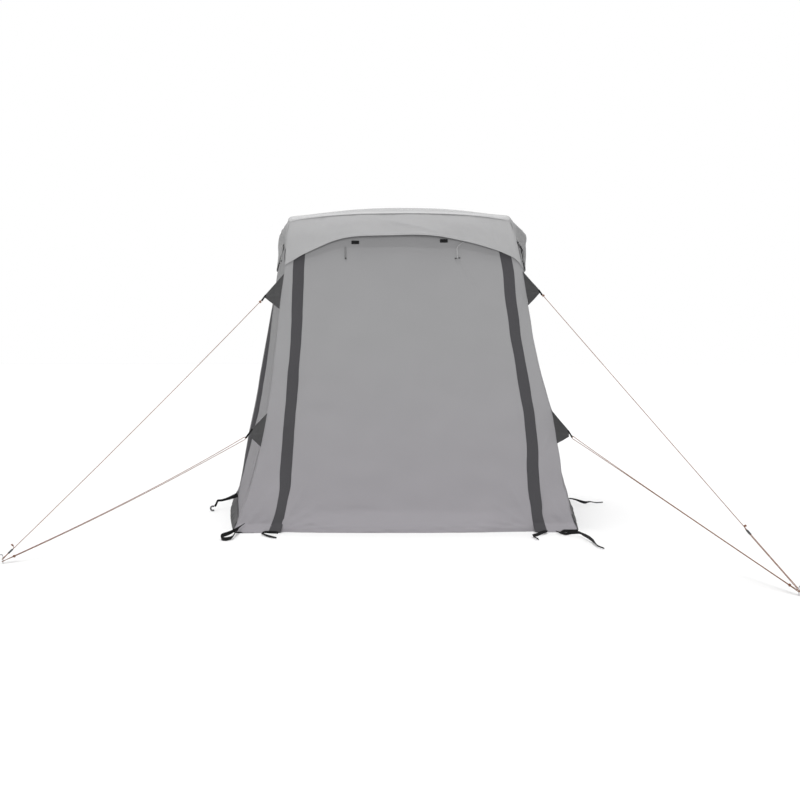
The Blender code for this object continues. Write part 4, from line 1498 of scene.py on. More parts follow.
@dataclass
class ZipCovers:
    """The dark strips of cloth that cover the eight zips."""

    widths: Knots = (  # height, and the width there
        (0.0, 0.082), (0.05, 0.078), (0.11, 0.069), (0.21, 0.073), (0.35, 0.079), (0.61, 0.076),
        (0.88, 0.074), (1.0, 0.077), (1.15, 0.07), (1.28, 0.0715), (1.55, 0.0755), (1.8, 0.0755),
        (1.93, 0.0745),
    )
    # How much wider the front wall's two covers are.
    extra_widths: dict[tuple[Side, bool], Knots] = field(default_factory=lambda: {
        (Side.FRONT, False): (
            (0.0, 0.0), (0.11, -0.001), (0.21, -0.008), (0.35, -0.002), (0.55, 0.0), (1.0, 0.0),
        ),
        (Side.FRONT, True): (
            (0.0, 0.0), (0.11, 0.004), (0.21, 0.008), (0.35, 0.002), (0.55, 0.0), (1.0, 0.0),
        ),
    })
    # How far their middle lies from the zip, away from the corner.
    shifts: dict[tuple[Side, bool], Knots] = field(default_factory=lambda: {
        (Side.FRONT, False): (
            (0.0, -0.007), (0.05, -0.001), (0.08, 0.004), (0.15, 0.011), (0.21, 0.013), (0.28, 0.0175),
            (0.35, 0.015), (0.48, 0.0105), (0.61, 0.0075), (0.75, 0.0025), (0.88, 0.0), (1.0, -0.0035),
            (1.15, -0.0025), (1.28, 0.0), (1.42, 0.0045), (1.55, 0.0045), (1.7, 0.001), (1.8, 0.0),
        ),
        (Side.FRONT, True): (
            (0.0, -0.024), (0.08, -0.0205), (0.15, -0.016), (0.21, -0.008), (0.28, -0.008),
            (0.35, -0.0057), (0.48, 0.0023), (0.61, 0.001), (0.75, 0.0046), (0.88, -0.0034),
            (1.0, -0.0105), (1.15, -0.0147), (1.28, -0.014), (1.42, -0.0087), (1.55, 0.001),
            (1.7, 0.0047), (1.83, 0.003),
        ),
    })
    thickness: float = 0.0016  # of the cloth
    clear: float = 0.0022  # from the middle of the wall cloth to the cover
    ridge: float = 0.0008  # how far the zip's teeth lift it
    bottom: float = 0.002  # height of its foot
    foot: float = 0.048  # how far the front wall's covers reach forwards at the ground
    foot_height: float = 0.055  # below which they do
    top: float = 1.935  # height of its upper end
    shares: tuple[float, ...] = (  # the places of its columns, from edge to edge
        -1.0, -0.93, -0.82, -0.7, -0.45, -0.2, 0.0, 0.2, 0.45, 0.7, 0.82, 0.93, 1.0,
    )
    body: Pair = (0.6, 0.86)  # shares between which the free middle ends and the sewn-down edge begins

    def build(self) -> None:
        """Builds every cover and its stitches."""
        stitching = Stitching("zip_cover_stitching", Slot.DARK_CLOTH, Finishes.dark_thread)
        for side in Side:
            for at_end, end_name in zip((False, True), ZIP_ENDS[side]):
                self.build_one(side, at_end, f"{side.label}_wall_{end_name}_zip_cover", stitching)
        stitching.make()

    def build_one(self, side: Side, at_end: bool, node: str, stitching: Stitching) -> None:
        """Builds one cover: a strip that follows its zip, a little crinkled, with sewn-down edges.

        Args:
            side: the side it is on.
            at_end: whether the zip is by the corner where the side ends.
            node: the plain solid that it stands for.
            stitching: takes its rows of stitches.
        """
        seed = 7000 + 10 * side + at_end
        height = np.linspace(self.bottom, self.top, 190)[:, None]
        shares = np.array(self.shares)[None, :]
        wander = Ripples(seed, 0.0014, 0.12, 0.5, 1.0, 6).relief(height, 0.0 * height)
        shift = smooth_curve(self.shifts.get((side, at_end), NO_CHANGE), height)
        extra = smooth_curve(self.extra_widths.get((side, at_end), NO_CHANGE), height)
        across = shares * (smooth_curve(self.widths, height) + extra) / 2.0 + wander
        order = -1 if at_end else 1
        distance = FORM.seam_distance(height) + shift + across * order
        shape = FORM.from_corner(side, at_end, distance, height + 0.0 * across, self.clear + 0.0 * distance)
        crinkle = Ripples(seed + 2, 0.0007, 0.03, 0.11, 0.6).relief(across, height)
        body = 1.0 - smooth_step(*self.body, np.abs(shares))
        zip_ridge = self.ridge * (np.exp(-((across / 0.007) ** 4)) + 0.5 * body)
        relief = (np.abs(crinkle) + zip_ridge) * (body > 0) + 0.0003
        if side == Side.LEFT and not at_end:
            relief = relief - REAR_DENT.cover_inward(shares, height)
            relief = relief - SIDE_FOLD.inward_at_rear(distance, height)
        if (side, at_end) in ((Side.LEFT, True), (Side.RIGHT, False)):
            relief = relief - SIDE_FOLD.inward(distance, height)
        if side == Side.FRONT:
            shape[..., 1] -= self.foot * (1.0 - smooth_step(0.0, self.foot_height, height))
        name, out = node.replace("_cover", "_strip"), FORM.outward(side)
        cloth = ClothPiece(name, shape, relief, out, self.thickness, (across, height))
        cloth.hang(Finishes.zip_cover, Slot.DARK_CLOTH, node, [f"{side.label}_door_cloth"])
        for column in (1.5, 10.5):
            stitching.along(*cloth.column_line(column))


def roof_edge_share(across: Array) -> Array:
    """How deep the roof's rolled edge is along the front and rear: 0.45 + 0.55 |a|^3."""
    return 0.45 + 0.55 * np.abs(across) ** 3


SMALL_PUFF: Knots = ((0.0, 0.0), (0.08, 0.002), (0.22, 0.007), (0.38, 0.01), (0.62, 0.007), (1.0, 0.0))


@dataclass
class Hoods:
    """The flared valances that hang from the roof's four edges."""

    offset: float = 0.0001  # from the wall cloth out to the hood, at its top
    tuck: float = 0.021  # how far its top is under the roof's upper face
    delay: float = 0.05  # share of its fall above the flare
    # For each side, the share across and the height of its lower edge.
    edges: dict[Side, Knots] = field(default_factory=lambda: {
        Side.FRONT: (
            (-1.0, 1.79), (-0.946, 1.81), (-0.847, 1.852), (-0.713, 1.9), (-0.591, 1.942), (-0.5, 1.965),
            (-0.4, 1.979), (-0.236, 1.986), (0.25, 1.986), (0.333, 1.979), (0.48, 1.958), (0.59, 1.937),
            (0.71, 1.908), (0.853, 1.867), (0.96, 1.818), (1.0, 1.775),
        ),
        Side.RIGHT: (
            (-1.0, 1.955), (-0.4, 1.958), (0.2, 1.958), (0.45, 1.935), (0.75, 1.865), (1.0, 1.788),
        ),
        Side.REAR: (
            (-1.0, 1.788), (-0.85, 1.857), (-0.6, 1.942), (-0.42, 1.977), (-0.25, 1.985), (0.25, 1.985),
            (0.42, 1.977), (0.6, 1.942), (0.85, 1.857), (1.0, 1.788),
        ),
        Side.LEFT: (
            (-1.0, 1.788), (-0.75, 1.865), (-0.45, 1.935), (-0.2, 1.958), (0.4, 1.955), (1.0, 1.89),
        ),
    })
    # For each side, how far the lower edge's middle stands out.
    flare: tuple[float, float, float, float] = (0.064, 0.002, 0.055, 0.002)
    # For the corner where each side starts, the share of the fall and how far it stands out.
    puffs: dict[Side, Knots] = field(default_factory=lambda: {
        Side.FRONT: SMALL_PUFF,
        Side.RIGHT: SMALL_PUFF,
        Side.REAR: (
            (0.0, 0.004), (0.03, 0.026), (0.08, 0.046), (0.16, 0.053), (0.24, 0.049), (0.32, 0.039),
            (0.48, 0.031), (0.64, 0.022), (0.8, 0.013), (1.0, 0.009),
        ),
        Side.LEFT: (
            (0.0, 0.003), (0.03, 0.02), (0.08, 0.036), (0.16, 0.041), (0.32, 0.036), (0.48, 0.026),
            (0.64, 0.017), (0.8, 0.01), (1.0, 0.004),
        ),
    })
    thickness: float = 0.0024  # of the cloth
    hem: float = 0.016  # height of the folded hem
    hem_rise: float = 0.001  # how far the hem stands out
    columns: int = 132  # on a side 1.64 m long
    rows: int = 30  # down the cloth
    nominal_fall: float = 0.25  # the length by which its creases are placed
    # Its own creases, in metres across from the middle and down from the top.
    creases: tuple[Crease, ...] = (
        Crease((-0.28, 0.01), (0.26, 0.22), 0.018, 0.0046),
        Crease((-0.16, 0.0), (0.3, 0.14), 0.034, -0.003),
        Crease((0.4, 0.03), (0.62, 0.2), 0.03, 0.0026),
        Crease((-0.66, 0.05), (-0.46, 0.21), 0.032, 0.0026),
        Crease((0.66, 0.02), (0.72, 0.26), 0.012, 0.0026),
        Crease((-0.73, 0.02), (-0.72, 0.24), 0.01, -0.0026),
    )
    calm_end: float = 0.035  # distance from the corners within which the folds begin
    calm_top: float = 0.12  # share of the fall within which they do

    def out(self, side: Side, across: Array, down: Array) -> Array:
        """How far it stands out: a puff near each corner, and a flare that grows downwards in the middle.

        The flare is flare (1 - across^2) times the share of the fall below its start, to the power 0.8.
        The puff goes evenly from the start corner's to the end corner's.

        Args:
            side: which side it is on.
            across: shares from -1 to 1 along the side.
            down: shares from the top to the lower edge.

        Returns:
            The distances outwards.
        """
        below = np.clip((down - self.delay) / (1.0 - self.delay), 0.0, 1.0)
        start, end = smooth_curve(self.puffs[side], down), smooth_curve(self.puffs[side.following], down)
        puff = start + (end - start) * (across + 1.0) / 2.0
        return puff + self.flare[side] * (1 - across**2) * below**0.8

    def relief(self, side: Side, across: Array, down: Array, half: float) -> Array:
        """The hood's soft folds.

        Args:
            side: which side it is on.
            across: shares from -1 to 1 along the side.
            down: shares from the top to the lower edge.
            half: half the side's length, in metres.

        Returns:
            The relief, in metres.
        """
        seed = 300 + 10 * side
        sideways, fall = across * half, down * self.nominal_fall
        total = Ripples(seed, 0.004, 0.3, 0.8, 1.2).relief(sideways, fall) * down**0.5
        total = total + Ripples(seed + 1, 0.0012, 0.07, 0.2, 1.2).relief(sideways, fall)
        for crease in self.creases:
            total = total + crease.relief(sideways, fall)
        ends = smooth_step(0.0, self.calm_end, half * (1.0 - np.abs(across)))
        return total * ends * smooth_step(0.0, self.calm_top, down)

    def build_one(self, side: Side, stitching: Stitching) -> None:
        """Builds one hood from the roof's edge down to its hem.

        Args:
            side: which side it is on.
            stitching: takes its rows of stitches.
        """
        half = float(FORM.length(side, FORM.eave)) / 2.0
        columns = round(self.columns * half / 0.82)
        inner_part = np.linspace(-1.0, 1.0, columns)
        near_end = FORM.radius / half
        ends = 1.0 - near_end * np.linspace(1.4, 0.0, 7)
        middle = inner_part[np.abs(inner_part) < 1.0 - 1.5 * near_end]
        across = np.concatenate([-ends[::-1], middle, ends])
        down = 1.0 - uneven_rows(self.nominal_fall, 0.028, 0.0028, self.nominal_fall / self.rows)
        spread, fall = across[None, :], down[:, None]
        out = self.offset + FORM.cloth / 2 + self.thickness / 2 + self.out(side, spread, fall)
        share = (spread + 1.0) / 2.0 + 0.0 * fall
        top_line = FORM.whole_side(side, share[0], np.full(len(across), FORM.eave), out[-1])
        depth_share = roof_edge_share(across) if side in (Side.FRONT, Side.REAR) else 1.0
        top = FORM.roof_height(top_line[:, 0], top_line[:, 1]) - self.tuck * depth_share
        low = smooth_curve(self.edges[side], spread)
        height = top + (low - top) * fall
        shape = FORM.whole_side(side, share, height, out)
        relief = self.relief(side, spread, fall, half)
        to_edge = (1.0 - fall) * (top - low)
        fold = 1.0 - smooth_step(self.hem - 0.0015, self.hem + 0.0015, to_edge)
        relief = relief + self.hem_rise * fold
        normals, places = surface_normals(shape), (spread * half, -to_edge)
        cloth = ClothPiece(f"{side.label}_hood_cloth", shape, relief, normals, self.thickness, places)
        cloth.hang(Finishes.hood, Slot.GREY_CLOTH, f"{side.label}_hood", ["roof"])
        for row in (4.6, len(down) - 2.6):
            stitching.along(*cloth.row_line(row))

    def build(self) -> None:
        """Builds the four hoods and their stitches."""
        stitching = Stitching("hood_stitching", Slot.GREY_CLOTH, Finishes.thread)
        for side in Side:
            self.build_one(side, stitching)
        stitching.make()


@dataclass
class Roof:
    """The bowed roof sheet over the poles, whose edge is rolled down over the tops of the hoods."""

    thickness: float = 0.0032  # of the cloth
    cell: float = 0.015  # size of the cloth's cells
    roll: float = 0.026  # radius of the edge's roll
    hang: Pair = (0.002, 0.009)  # how far it hangs below the roll in the middle of an edge, and at a corner
    calm: Pair = (0.045, 0.11)  # distances from the edge between which its relief begins
    pole_reach: float = 0.035  # half the width in which the bow pole holds the cloth up
    sink: float = 0.0035  # how far it sinks between the poles
    fan_angles: tuple[float, ...] = (0.35, 0.75, 1.15)  # of the creases that fan out from each corner
    fan_length: float = 0.3  # of those creases
    fan_inset: float = 0.05  # from a corner's edges to where they start
    welt: float = 0.0006  # how far the folded edge stands out
    stitch_inset: float = 1.8  # rows from the edge to the stitches

    def relief(self, x: Array, y: Array, inner: Array, edge: Array, size: Array) -> Array:
        """How far the roof's cloth stands out, with creases that fan out from its four corners.

        Between the poles it sinks by sink (1 - exp(-(distance / pole_reach)^2)), less near the edge.

        Args:
            x: places to the right.
            y: places towards the rear.
            inner: shares of the way from the nearer edge to the middle.
            edge: distances from the edge.
            size: half the roof's width and half its depth.

        Returns:
            The relief, in metres.
        """
        half, deep = size
        calm = smooth_step(*self.calm, edge)
        relief = Ripples(511, 0.0022, 0.25, 0.8).relief(x, y) * calm
        relief = relief + Ripples(512, 0.0006, 0.06, 0.18).relief(x, y) * calm
        over_pole = np.exp(-(((y - FORM.depth / 2.0) / self.pole_reach) ** 2))
        relief = relief - self.sink * (1.0 - over_pole) * calm * (1.0 - (1.0 - inner) ** 2)
        for hand, end, angle in itertools.product((-1, 1), (-1, 1), self.fan_angles):
            foot = (hand * (half - self.fan_inset), FORM.depth / 2.0 + end * (deep - self.fan_inset))
            tip = (
                foot[0] - hand * self.fan_length * math.cos(angle),
                foot[1] - end * self.fan_length * math.sin(angle),
            )
            relief = relief + Crease(foot, tip, 0.01, 0.0018).relief(x, y) * calm
        folds = Ripples(513, 0.0008, 0.1, 0.4).relief(x, y) * (1.0 - calm)
        welt = self.welt * (1.0 - smooth_step(0.01, 0.013, edge))
        return relief + welt + folds

    def build(self) -> None:
        """Builds the roof, which is the form's roof height over a rectangle with rounded corners.

        In each corner of the grid the square of side r is drawn into a quarter disc by p sqrt(1 - q^2 / 2).
        A point at a distance d past the start of the roll turns by t = d / roll, up to a quarter turn. It
        stands out by roll sin t and is lower by roll (1 - cos t), and by all of d that is left over.
        """
        front = FORM.lean * FORM.eave - FORM.overhang
        deep = FORM.depth / 2.0 - front
        half = float(FORM.half_width(FORM.eave, FORM.depth / 2.0)) + FORM.overhang
        size = np.array([half, deep])
        core = size - FORM.radius - FORM.overhang
        start = FORM.radius + FORM.overhang - self.roll
        most = start + self.roll * math.pi / 2.0 + self.hang[1]
        a, b = (self.even_with_fine_ends(straight + most) for straight in core)
        across, along = np.meshgrid(a, b)
        spot = np.stack([across * (core[0] + most), along * (core[1] + most)], axis=-1)
        beyond = np.maximum(np.abs(spot) - core, 0.0)
        square = beyond / most
        disc = beyond * np.sqrt(1.0 - square[..., ::-1] ** 2 / 2.0)
        reach = np.linalg.norm(disc, axis=-1)
        hang = self.hang[0] + (self.hang[1] - self.hang[0]) * np.abs(across) ** 3
        past = np.maximum(reach - start, 0.0) * (most - self.hang[1] + hang - start) / (most - start)
        turn = np.minimum(past / self.roll, math.pi / 2.0)
        out = np.minimum(reach, start) + self.roll * np.sin(turn)
        drop = self.roll * (1.0 - np.cos(turn)) + np.maximum(past - self.roll * math.pi / 2.0, 0.0)
        drop = drop * roof_edge_share(across)
        plan = np.minimum(np.abs(spot), core) + disc * (out / np.maximum(reach, 1e-9))[..., None]
        plan = plan * np.sign(spot)
        y = FORM.depth / 2.0 + plan[..., 1]
        width = FORM.half_width(FORM.eave, y) + FORM.overhang
        x = FORM.middle(FORM.eave, y) + plan[..., 0] * width / half
        shape = np.stack([x, y, FORM.roof_height(x, y) - drop - self.thickness / 2.0], axis=-1)
        inner = np.clip(np.min(1.0 - np.abs(plan) / size, axis=-1), 0.0, 1.0)
        relief = self.relief(x, y, inner, np.maximum(most - reach, 0.0), size)
        cloth = ClothPiece("roof_cloth", shape, relief, surface_normals(shape), self.thickness, (x, y))
        poles = ["front_frame_pole", "rear_frame_pole", "roof_bow_pole"]
        cloth.hang(Finishes.roof, Slot.ROOF_CLOTH, "roof", poles, "stretched")
        self.stitch(cloth)

    def even_with_fine_ends(self, half: float) -> Array:
        """Shares from -1 to 1, close together near both ends.

        Args:
            half: half the length that they are shares of.

        Returns:
            The shares.
        """
        edge = uneven_rows(half, 0.064, 0.004, self.cell)
        side = 1.0 - edge
        return np.concatenate([-side[:-1], side[::-1]])

    def stitch(self, cloth: ClothPiece) -> None:
        """Sews a row of stitches all round, inside the roof's edge.

        Args:
            cloth: the roof.
        """
        stitching = Stitching("roof_stitching", Slot.ROOF_CLOTH, Finishes.thread)
        rows, columns = cloth.shape.shape[:2]
        inset = self.stitch_inset
        for row in (inset, rows - 1 - inset):
            stitching.along(*cloth.row_line(row, slice(2, columns - 2)))
        for column in (inset, columns - 1 - inset):
            stitching.along(*cloth.column_line(column, slice(2, rows - 2)))
        stitching.make()


@dataclass
class MudSkirts:
    """The dark bands along the foot of the two sides, which belly out over the ground."""

    # How far each bellies out.
    bulge: dict[Side, float] = field(default_factory=lambda: {Side.LEFT: 0.032, Side.RIGHT: 0.012})
    # Height, and the share of the belly there.
    profile: Knots = ((0.0, 1.0), (0.026, 0.95), (0.05, 0.6), (0.066, 0.0))
    ends: Pair = (0.03, 0.95)  # shares of the side's length where it starts and ends
    end_belly: float = 0.35  # share of the belly at both ends
    clear: float = 0.0062  # from the middle of the wall cloth to the skirt
    thickness: float = 0.0018  # of the cloth
    height: float = 0.066  # of the skirt
    hem_rise: float = 0.0008  # how far its hem and its seam stand out
    fold_size: float = 0.0032  # height of its soft folds

    def build(self) -> None:
        """Builds both skirts: a bulge over the height times a half sine along the side, with soft folds."""
        for side in (Side.LEFT, Side.RIGHT):
            share = np.linspace(*self.ends, 130)[None, :]
            height = np.linspace(0.0, self.height, 15)[:, None]
            length = float(FORM.length(side, 0.0))
            around = (share - self.ends[0]) / (self.ends[1] - self.ends[0])
            belly = self.bulge[side] * (self.end_belly + (1.0 - self.end_belly) * np.sin(math.pi * around))
            out = self.clear + belly * smooth_curve(self.profile, height)
            base = FORM.from_corner(side, False, share * length + 0.0 * height, height + 0.0 * share)
            shape = base + FORM.outward(side) * out[..., None]
            waves = Ripples(900 + side, self.fold_size, 0.07, 0.3, 2.0).relief(share * length, height)
            fade = np.sin(math.pi * np.clip(height / self.height, 0.0, 1.0) ** 0.6)
            fade = fade * smooth_step(0.0, 0.06, around)
            fade = fade * (1.0 - smooth_step(0.94, 1.0, around))
            hem = self.hem_rise * (1.0 - smooth_step(0.01, 0.013, height))
            relief = waves * fade + (hem + self.hem_rise * smooth_step(0.054, 0.057, height))
            name, places = f"{side.label}_skirt_cloth", (share * length, height)
            cloth = ClothPiece(name, shape, relief, FORM.outward(side), self.thickness, places)
            wall = f"{side.label}_door_cloth"
            cloth.hang(Finishes.skirt, Slot.SKIRT_CLOTH, f"{side.label}_mud_skirt", [wall])


@dataclass(frozen=True)
class GuySpec:
    """Where one guy line's tab is sewn, and where its tip and peg are."""

    name: str  # its name in the record
    corner: int  # the corner it is sewn to
    seam: Pair  # heights between which the tab's solid is sewn, from whose middle its reach is taken
    sewn: Pair  # heights between which the cloth is sewn
    tip_height: float  # height of the tip of its webbing loop
    cloth_share: float  # how much of the reach is cloth, before the webbing loop
    low_end: float  # height of the cloth's lower edge where it meets the loop
    reach: float  # from the corner to that tip, in metres
    peg: Pair  # the peg's place on the ground
    loop_height: float  # where the line goes round the peg
    sag: float  # of the line in its middle
    slider: float | None = None  # distance of its slider from the peg, or none
    # 1 where its two strands lie one above the other down the line, 0 where side by side.
    upright: float = 0.0


LEFT_PEG = (-2.38, -1.11)
RIGHT_PEG = (2.0, -2.09)
UPPER_SEAM = (1.52, 1.73)
LOWER_SEAM = (0.57, 0.79)
GUYS = (
    GuySpec(
        "upper_left", Side.FRONT, UPPER_SEAM, sewn=(1.495, 1.73), tip_height=1.55, cloth_share=0.85,
        low_end=1.571, reach=0.165, peg=LEFT_PEG, loop_height=0.028, sag=0.014, slider=0.062,
    ),
    GuySpec(
        "lower_left", Side.FRONT, LOWER_SEAM, sewn=(0.57, 0.792), tip_height=0.637, cloth_share=0.69,
        low_end=0.634, reach=0.149, peg=LEFT_PEG, loop_height=0.013, sag=0.025, upright=1.0,
    ),
    GuySpec(
        "upper_right", Side.RIGHT, UPPER_SEAM, sewn=(1.52, 1.747), tip_height=1.588, cloth_share=0.85,
        low_end=1.6, reach=0.194, peg=RIGHT_PEG, loop_height=0.029, sag=0.001, slider=0.45,
    ),
    GuySpec(
        "lower_right", Side.RIGHT, LOWER_SEAM, sewn=(0.589, 0.813), tip_height=0.647, cloth_share=0.8,
        low_end=0.646, reach=0.213, peg=RIGHT_PEG, loop_height=0.022, sag=0.002,
    ),
)


@dataclass
class Guy:
    """One tab, its webbing loop, its line and, on an upper line, its slider."""

    spec: GuySpec  # where it is
    rope: float = 0.002  # radius of the line
    gap: float = 0.0005  # between the line and what it goes round
    peg_radius: float = 0.003  # of the peg
    tab_thickness: float = 0.0022  # of the tab's two layers
    fold_rise: float = 0.0007  # how far the tab's folded edges stand out
    # Depth of the crease along the tab's middle, and its place and width as shares.
    tab_crease: Triple = (0.0022, 0.38, 0.045)
    loop_width: float = 0.011  # of the webbing loop
    loop_thickness: float = 0.0013  # of its webbing
    eye: float = 0.0034  # radius of the loop's eye
    strand_gap: float = 0.0026  # half the distance of the two strands where a slider holds them
    pair_gap: float = 0.0023  # half their distance along a doubled line
    pair_rise: float = 0.009  # half their distance up and down at the tab
    head: float = 0.007  # radius of the turn at the tab
    # Length, half width, half height and wall of the slider.
    slider_size: tuple[float, float, float, float] = (0.036, 0.008, 0.0052, 0.0024)
    slider_room: Pair = (0.026, 0.024)  # from its middle to where the strands part, above and below it
    sewn_out: float = 0.0012  # from the corner's wall cloth out to the tab's sewn edge
    overlap: float = 0.012  # how far the webbing loop lies on the tab
    eye_back: float = 0.0022  # from the tab's tip back to the middle of the loop's eye

    def __post_init__(self) -> None:
        """Works out the tab's tip, and the line's direction from the peg to it."""
        face = self.corner_face(np.array([sum(self.spec.seam) / 2.0]))[0]
        self.away = unit(np.array([self.spec.peg[0] - face[0], self.spec.peg[1] - face[1], 0.0]))
        self.tip = face + self.away * self.spec.reach
        self.tip[2] = self.spec.tip_height
        self.foot = np.array([*self.spec.peg, self.spec.loop_height])
        self.start = self.tip + self.away * (self.rope + self.gap)
        self.length = float(np.linalg.norm(self.start - self.foot))
        self.along = unit(self.start - self.foot)
        self.aside = unit(np.cross(self.along, UP))
        self.upward = np.cross(self.aside, self.along)

    def corner_face(self, height: Array) -> Array:
        """The outermost points of the rounded corner at some heights."""
        return FORM.round_corner(self.spec.corner, 0.0 * height, height, FORM.cloth / 2 + 0.0 * height)

    def at(self, distance: Array, sideways: Array = 0.0, lift: Array = 0.0) -> Array:
        """Points of the line: straight from the peg, less a sag of 4 s t (1 - t), plus any way aside.

        Args:
            distance: distances from the peg.
            sideways: level distances off the line.
            lift: distances off it upwards.

        Returns:
            The points, with a last axis of 3.
        """
        distance, sideways, lift = np.broadcast_arrays(
            np.asarray(distance, float), np.asarray(sideways, float), np.asarray(lift, float),
        )
        share = distance / self.length
        drop = 4.0 * self.spec.sag * share * (1.0 - share)
        path = self.foot + self.along * distance[..., None] + self.aside * sideways[..., None]
        return path + self.upward * lift[..., None] - UP * drop[..., None]

    def peg_turn(self) -> Array:
        """The half circle of the line round its peg.

        Returns:
            Its points, r (cos t, sin t) in the line's plane.
        """
        radius = self.peg_radius / math.hypot(*self.along[:2]) + self.rope + self.gap
        turn = np.linspace(0.5, 1.5, 17) * math.pi
        return self.at(radius * np.cos(turn), radius * np.sin(turn))

    def build_tab(self, stitching: Stitching) -> None:
        """Builds the dark triangle with straight edges, whose upper one runs on into the webbing loop.

        A point at a share a of the way out and b of the way up is base(b) (1 - a) + end(b) a.

        Args:
            stitching: takes its rows of stitches.
        """
        a = np.linspace(0.0, 1.0, 40)[:, None]
        b = np.concatenate([[0.0, 0.03, 0.07], np.linspace(0.1, 0.9, 17), [0.93, 0.97, 1.0]])[None, :]
        low, high = self.spec.sewn
        base = self.corner_face(low + (high - low) * b[0])[None] + self.away * self.sewn_out
        share = self.spec.cloth_share
        level = self.corner_face(np.array([sum(self.spec.seam) / 2.0]))[0]
        end = (level + (self.tip - level) * share)[None] + 0.0 * b[0][:, None]
        top_end = high + (self.spec.tip_height - high) * share + self.loop_width / 2.0
        end[:, 2] = self.spec.low_end + (top_end - self.spec.low_end) * b[0]
        shape = base * (1.0 - a[..., None]) + end[None] * a[..., None]
        cloth_reach = self.spec.reach * share
        relief = Ripples(40 + self.spec.corner, 0.001, 0.05, 0.14).relief(a * 0.12, b * 0.2)
        depth, place, width = self.tab_crease
        relief = relief * np.sin(math.pi * a)
        relief = relief - depth * np.exp(-(((b - place) / width) ** 2)) * np.sin(math.pi * a) ** 0.5
        rim = np.minimum(b, 1.0 - b) * (1.0 - a) * (high - low) + np.minimum(b, 1.0 - b) * a * 0.02
        folded = self.fold_rise * (1.0 - smooth_step(0.007, 0.009, rim))
        thickness = self.tab_thickness + 2.0 * folded
        name, places = f"{self.spec.name}_tab_cloth", (b * (high - low), a * cloth_reach)
        cloth = ClothPiece(name, shape, relief, np.cross(self.away, UP), thickness, places)
        node, holds = f"{self.spec.name}_guy_tab", [f"{CORNER_NAMES[self.spec.corner]}_corner_cloth"]
        cut = (round(high - low, 3), round(cloth_reach, 3))
        cloth.hang(Finishes.tab, Slot.DARK_CLOTH, node, holds, "stretched", cut)
        for column in (3.0, 19.0):
            points, ways = cloth.column_line(column, slice(1, 34))
            stitching.along(points, ways)
            stitching.along(points - ways * thickness[1:34, :1], -ways)
        self.build_loop(end[-1] - UP * self.loop_width / 2.0)

    def build_loop(self, cloth_end: Array) -> None:
        """Builds the webbing loop: out from the cloth, round a small eye, and back on its other face.

        The eye is half a circle, cos t along the loop and sin t across it. The two bands lie on the
        tab's faces and part to the eye's width on the way out.

        Args:
            cloth_end: the middle of the loop's width where it leaves the tab.
        """
        face_way = np.cross(self.away, UP)
        inside = cloth_end - unit(self.tip - cloth_end) * self.overlap
        eye = self.tip - self.away * self.eye_back
        turn = np.linspace(-0.5, 0.5, 13)[:, None] * math.pi
        bend = eye + self.eye * (np.cos(turn) * self.away + np.sin(turn) * face_way)
        sheet_half = self.tab_thickness / 2.0 + 0.0008
        out = np.linspace(0.0, 1.0, 14)[:, None]
        swell = self.eye * smooth_step(0.35, 1.0, out) + sheet_half * (1.0 - smooth_step(0.3, 0.9, out))
        line = inside + (eye - inside) * out
        near, far = line - face_way * swell, line + face_way * swell
        path = np.concatenate([near[:-1], bend, far[:-1][::-1]])
        across = unit(np.cross(face_way, self.tip - cloth_end))
        across = across * np.sign(across[2])
        name, thick = f"{self.spec.name}_tab_loop", self.loop_thickness
        dress(add_ribbon(name, path, across, self.loop_width, thick, Finishes.webbing), Slot.WEBBING)

    def build_line(self) -> None:
        """Builds the line, from its tab to the peg and, where it is doubled, back again."""
        if self.spec.slider is None:
            self.build_doubled_line()
        else:
            self.build_single_line(self.spec.slider)

    def build_doubled_line(self) -> None:
        """Builds a closed loop, whose strands stand apart at the tab and come together down the line.

        They part up and down at the tab, and by the peg's width round the peg. On an upright line
        they make a quarter turn about each other within the first 30 cm from the peg.
        """
        turn = self.peg_turn()
        at_peg = abs(float(np.dot(turn[0] - self.foot, self.aside)))
        share = np.linspace(0.0, 1.0, 90)[1:-1]
        head = self.length - self.head
        distance = head * share
        from_peg, to_head = np.exp(-distance / 0.05), np.exp(-(head - distance) / 0.35)
        sideways = self.pair_gap + (at_peg - self.pair_gap) * from_peg
        sideways = sideways * (1.0 - smooth_step(0.0, 1.0, to_head) * 0.95)
        quarter_turn = 0.5 * math.pi * self.spec.upright * (1.0 - np.exp(-distance / 0.1))
        lift = self.pair_rise * to_head + sideways * np.sin(quarter_turn)
        sideways = sideways * np.cos(quarter_turn)
        out_strand = self.at(distance, -sideways, -lift)
        back_strand = self.at(distance, sideways, lift)
        angle = np.linspace(-0.5, 0.5, 15) * math.pi
        head_turn = self.at(head + self.head * np.cos(angle), 0.0 * angle, self.pair_rise * np.sin(angle))
        path = np.concatenate([turn, out_strand, head_turn, back_strand[::-1]])
        hint = np.broadcast_to(self.upward + 0.6 * self.aside, path.shape)
        name = f"{self.spec.name}_guy_rope"
        piece = add_tube(name, path, self.rope, 10, Finishes.rope, hint, closed=True)
        dress(piece, Slot.ROPE, f"{self.spec.name}_guy_line")
        self.build_knot(f"{self.spec.name}_guy_knot", self.at(0.075), 0.0025)

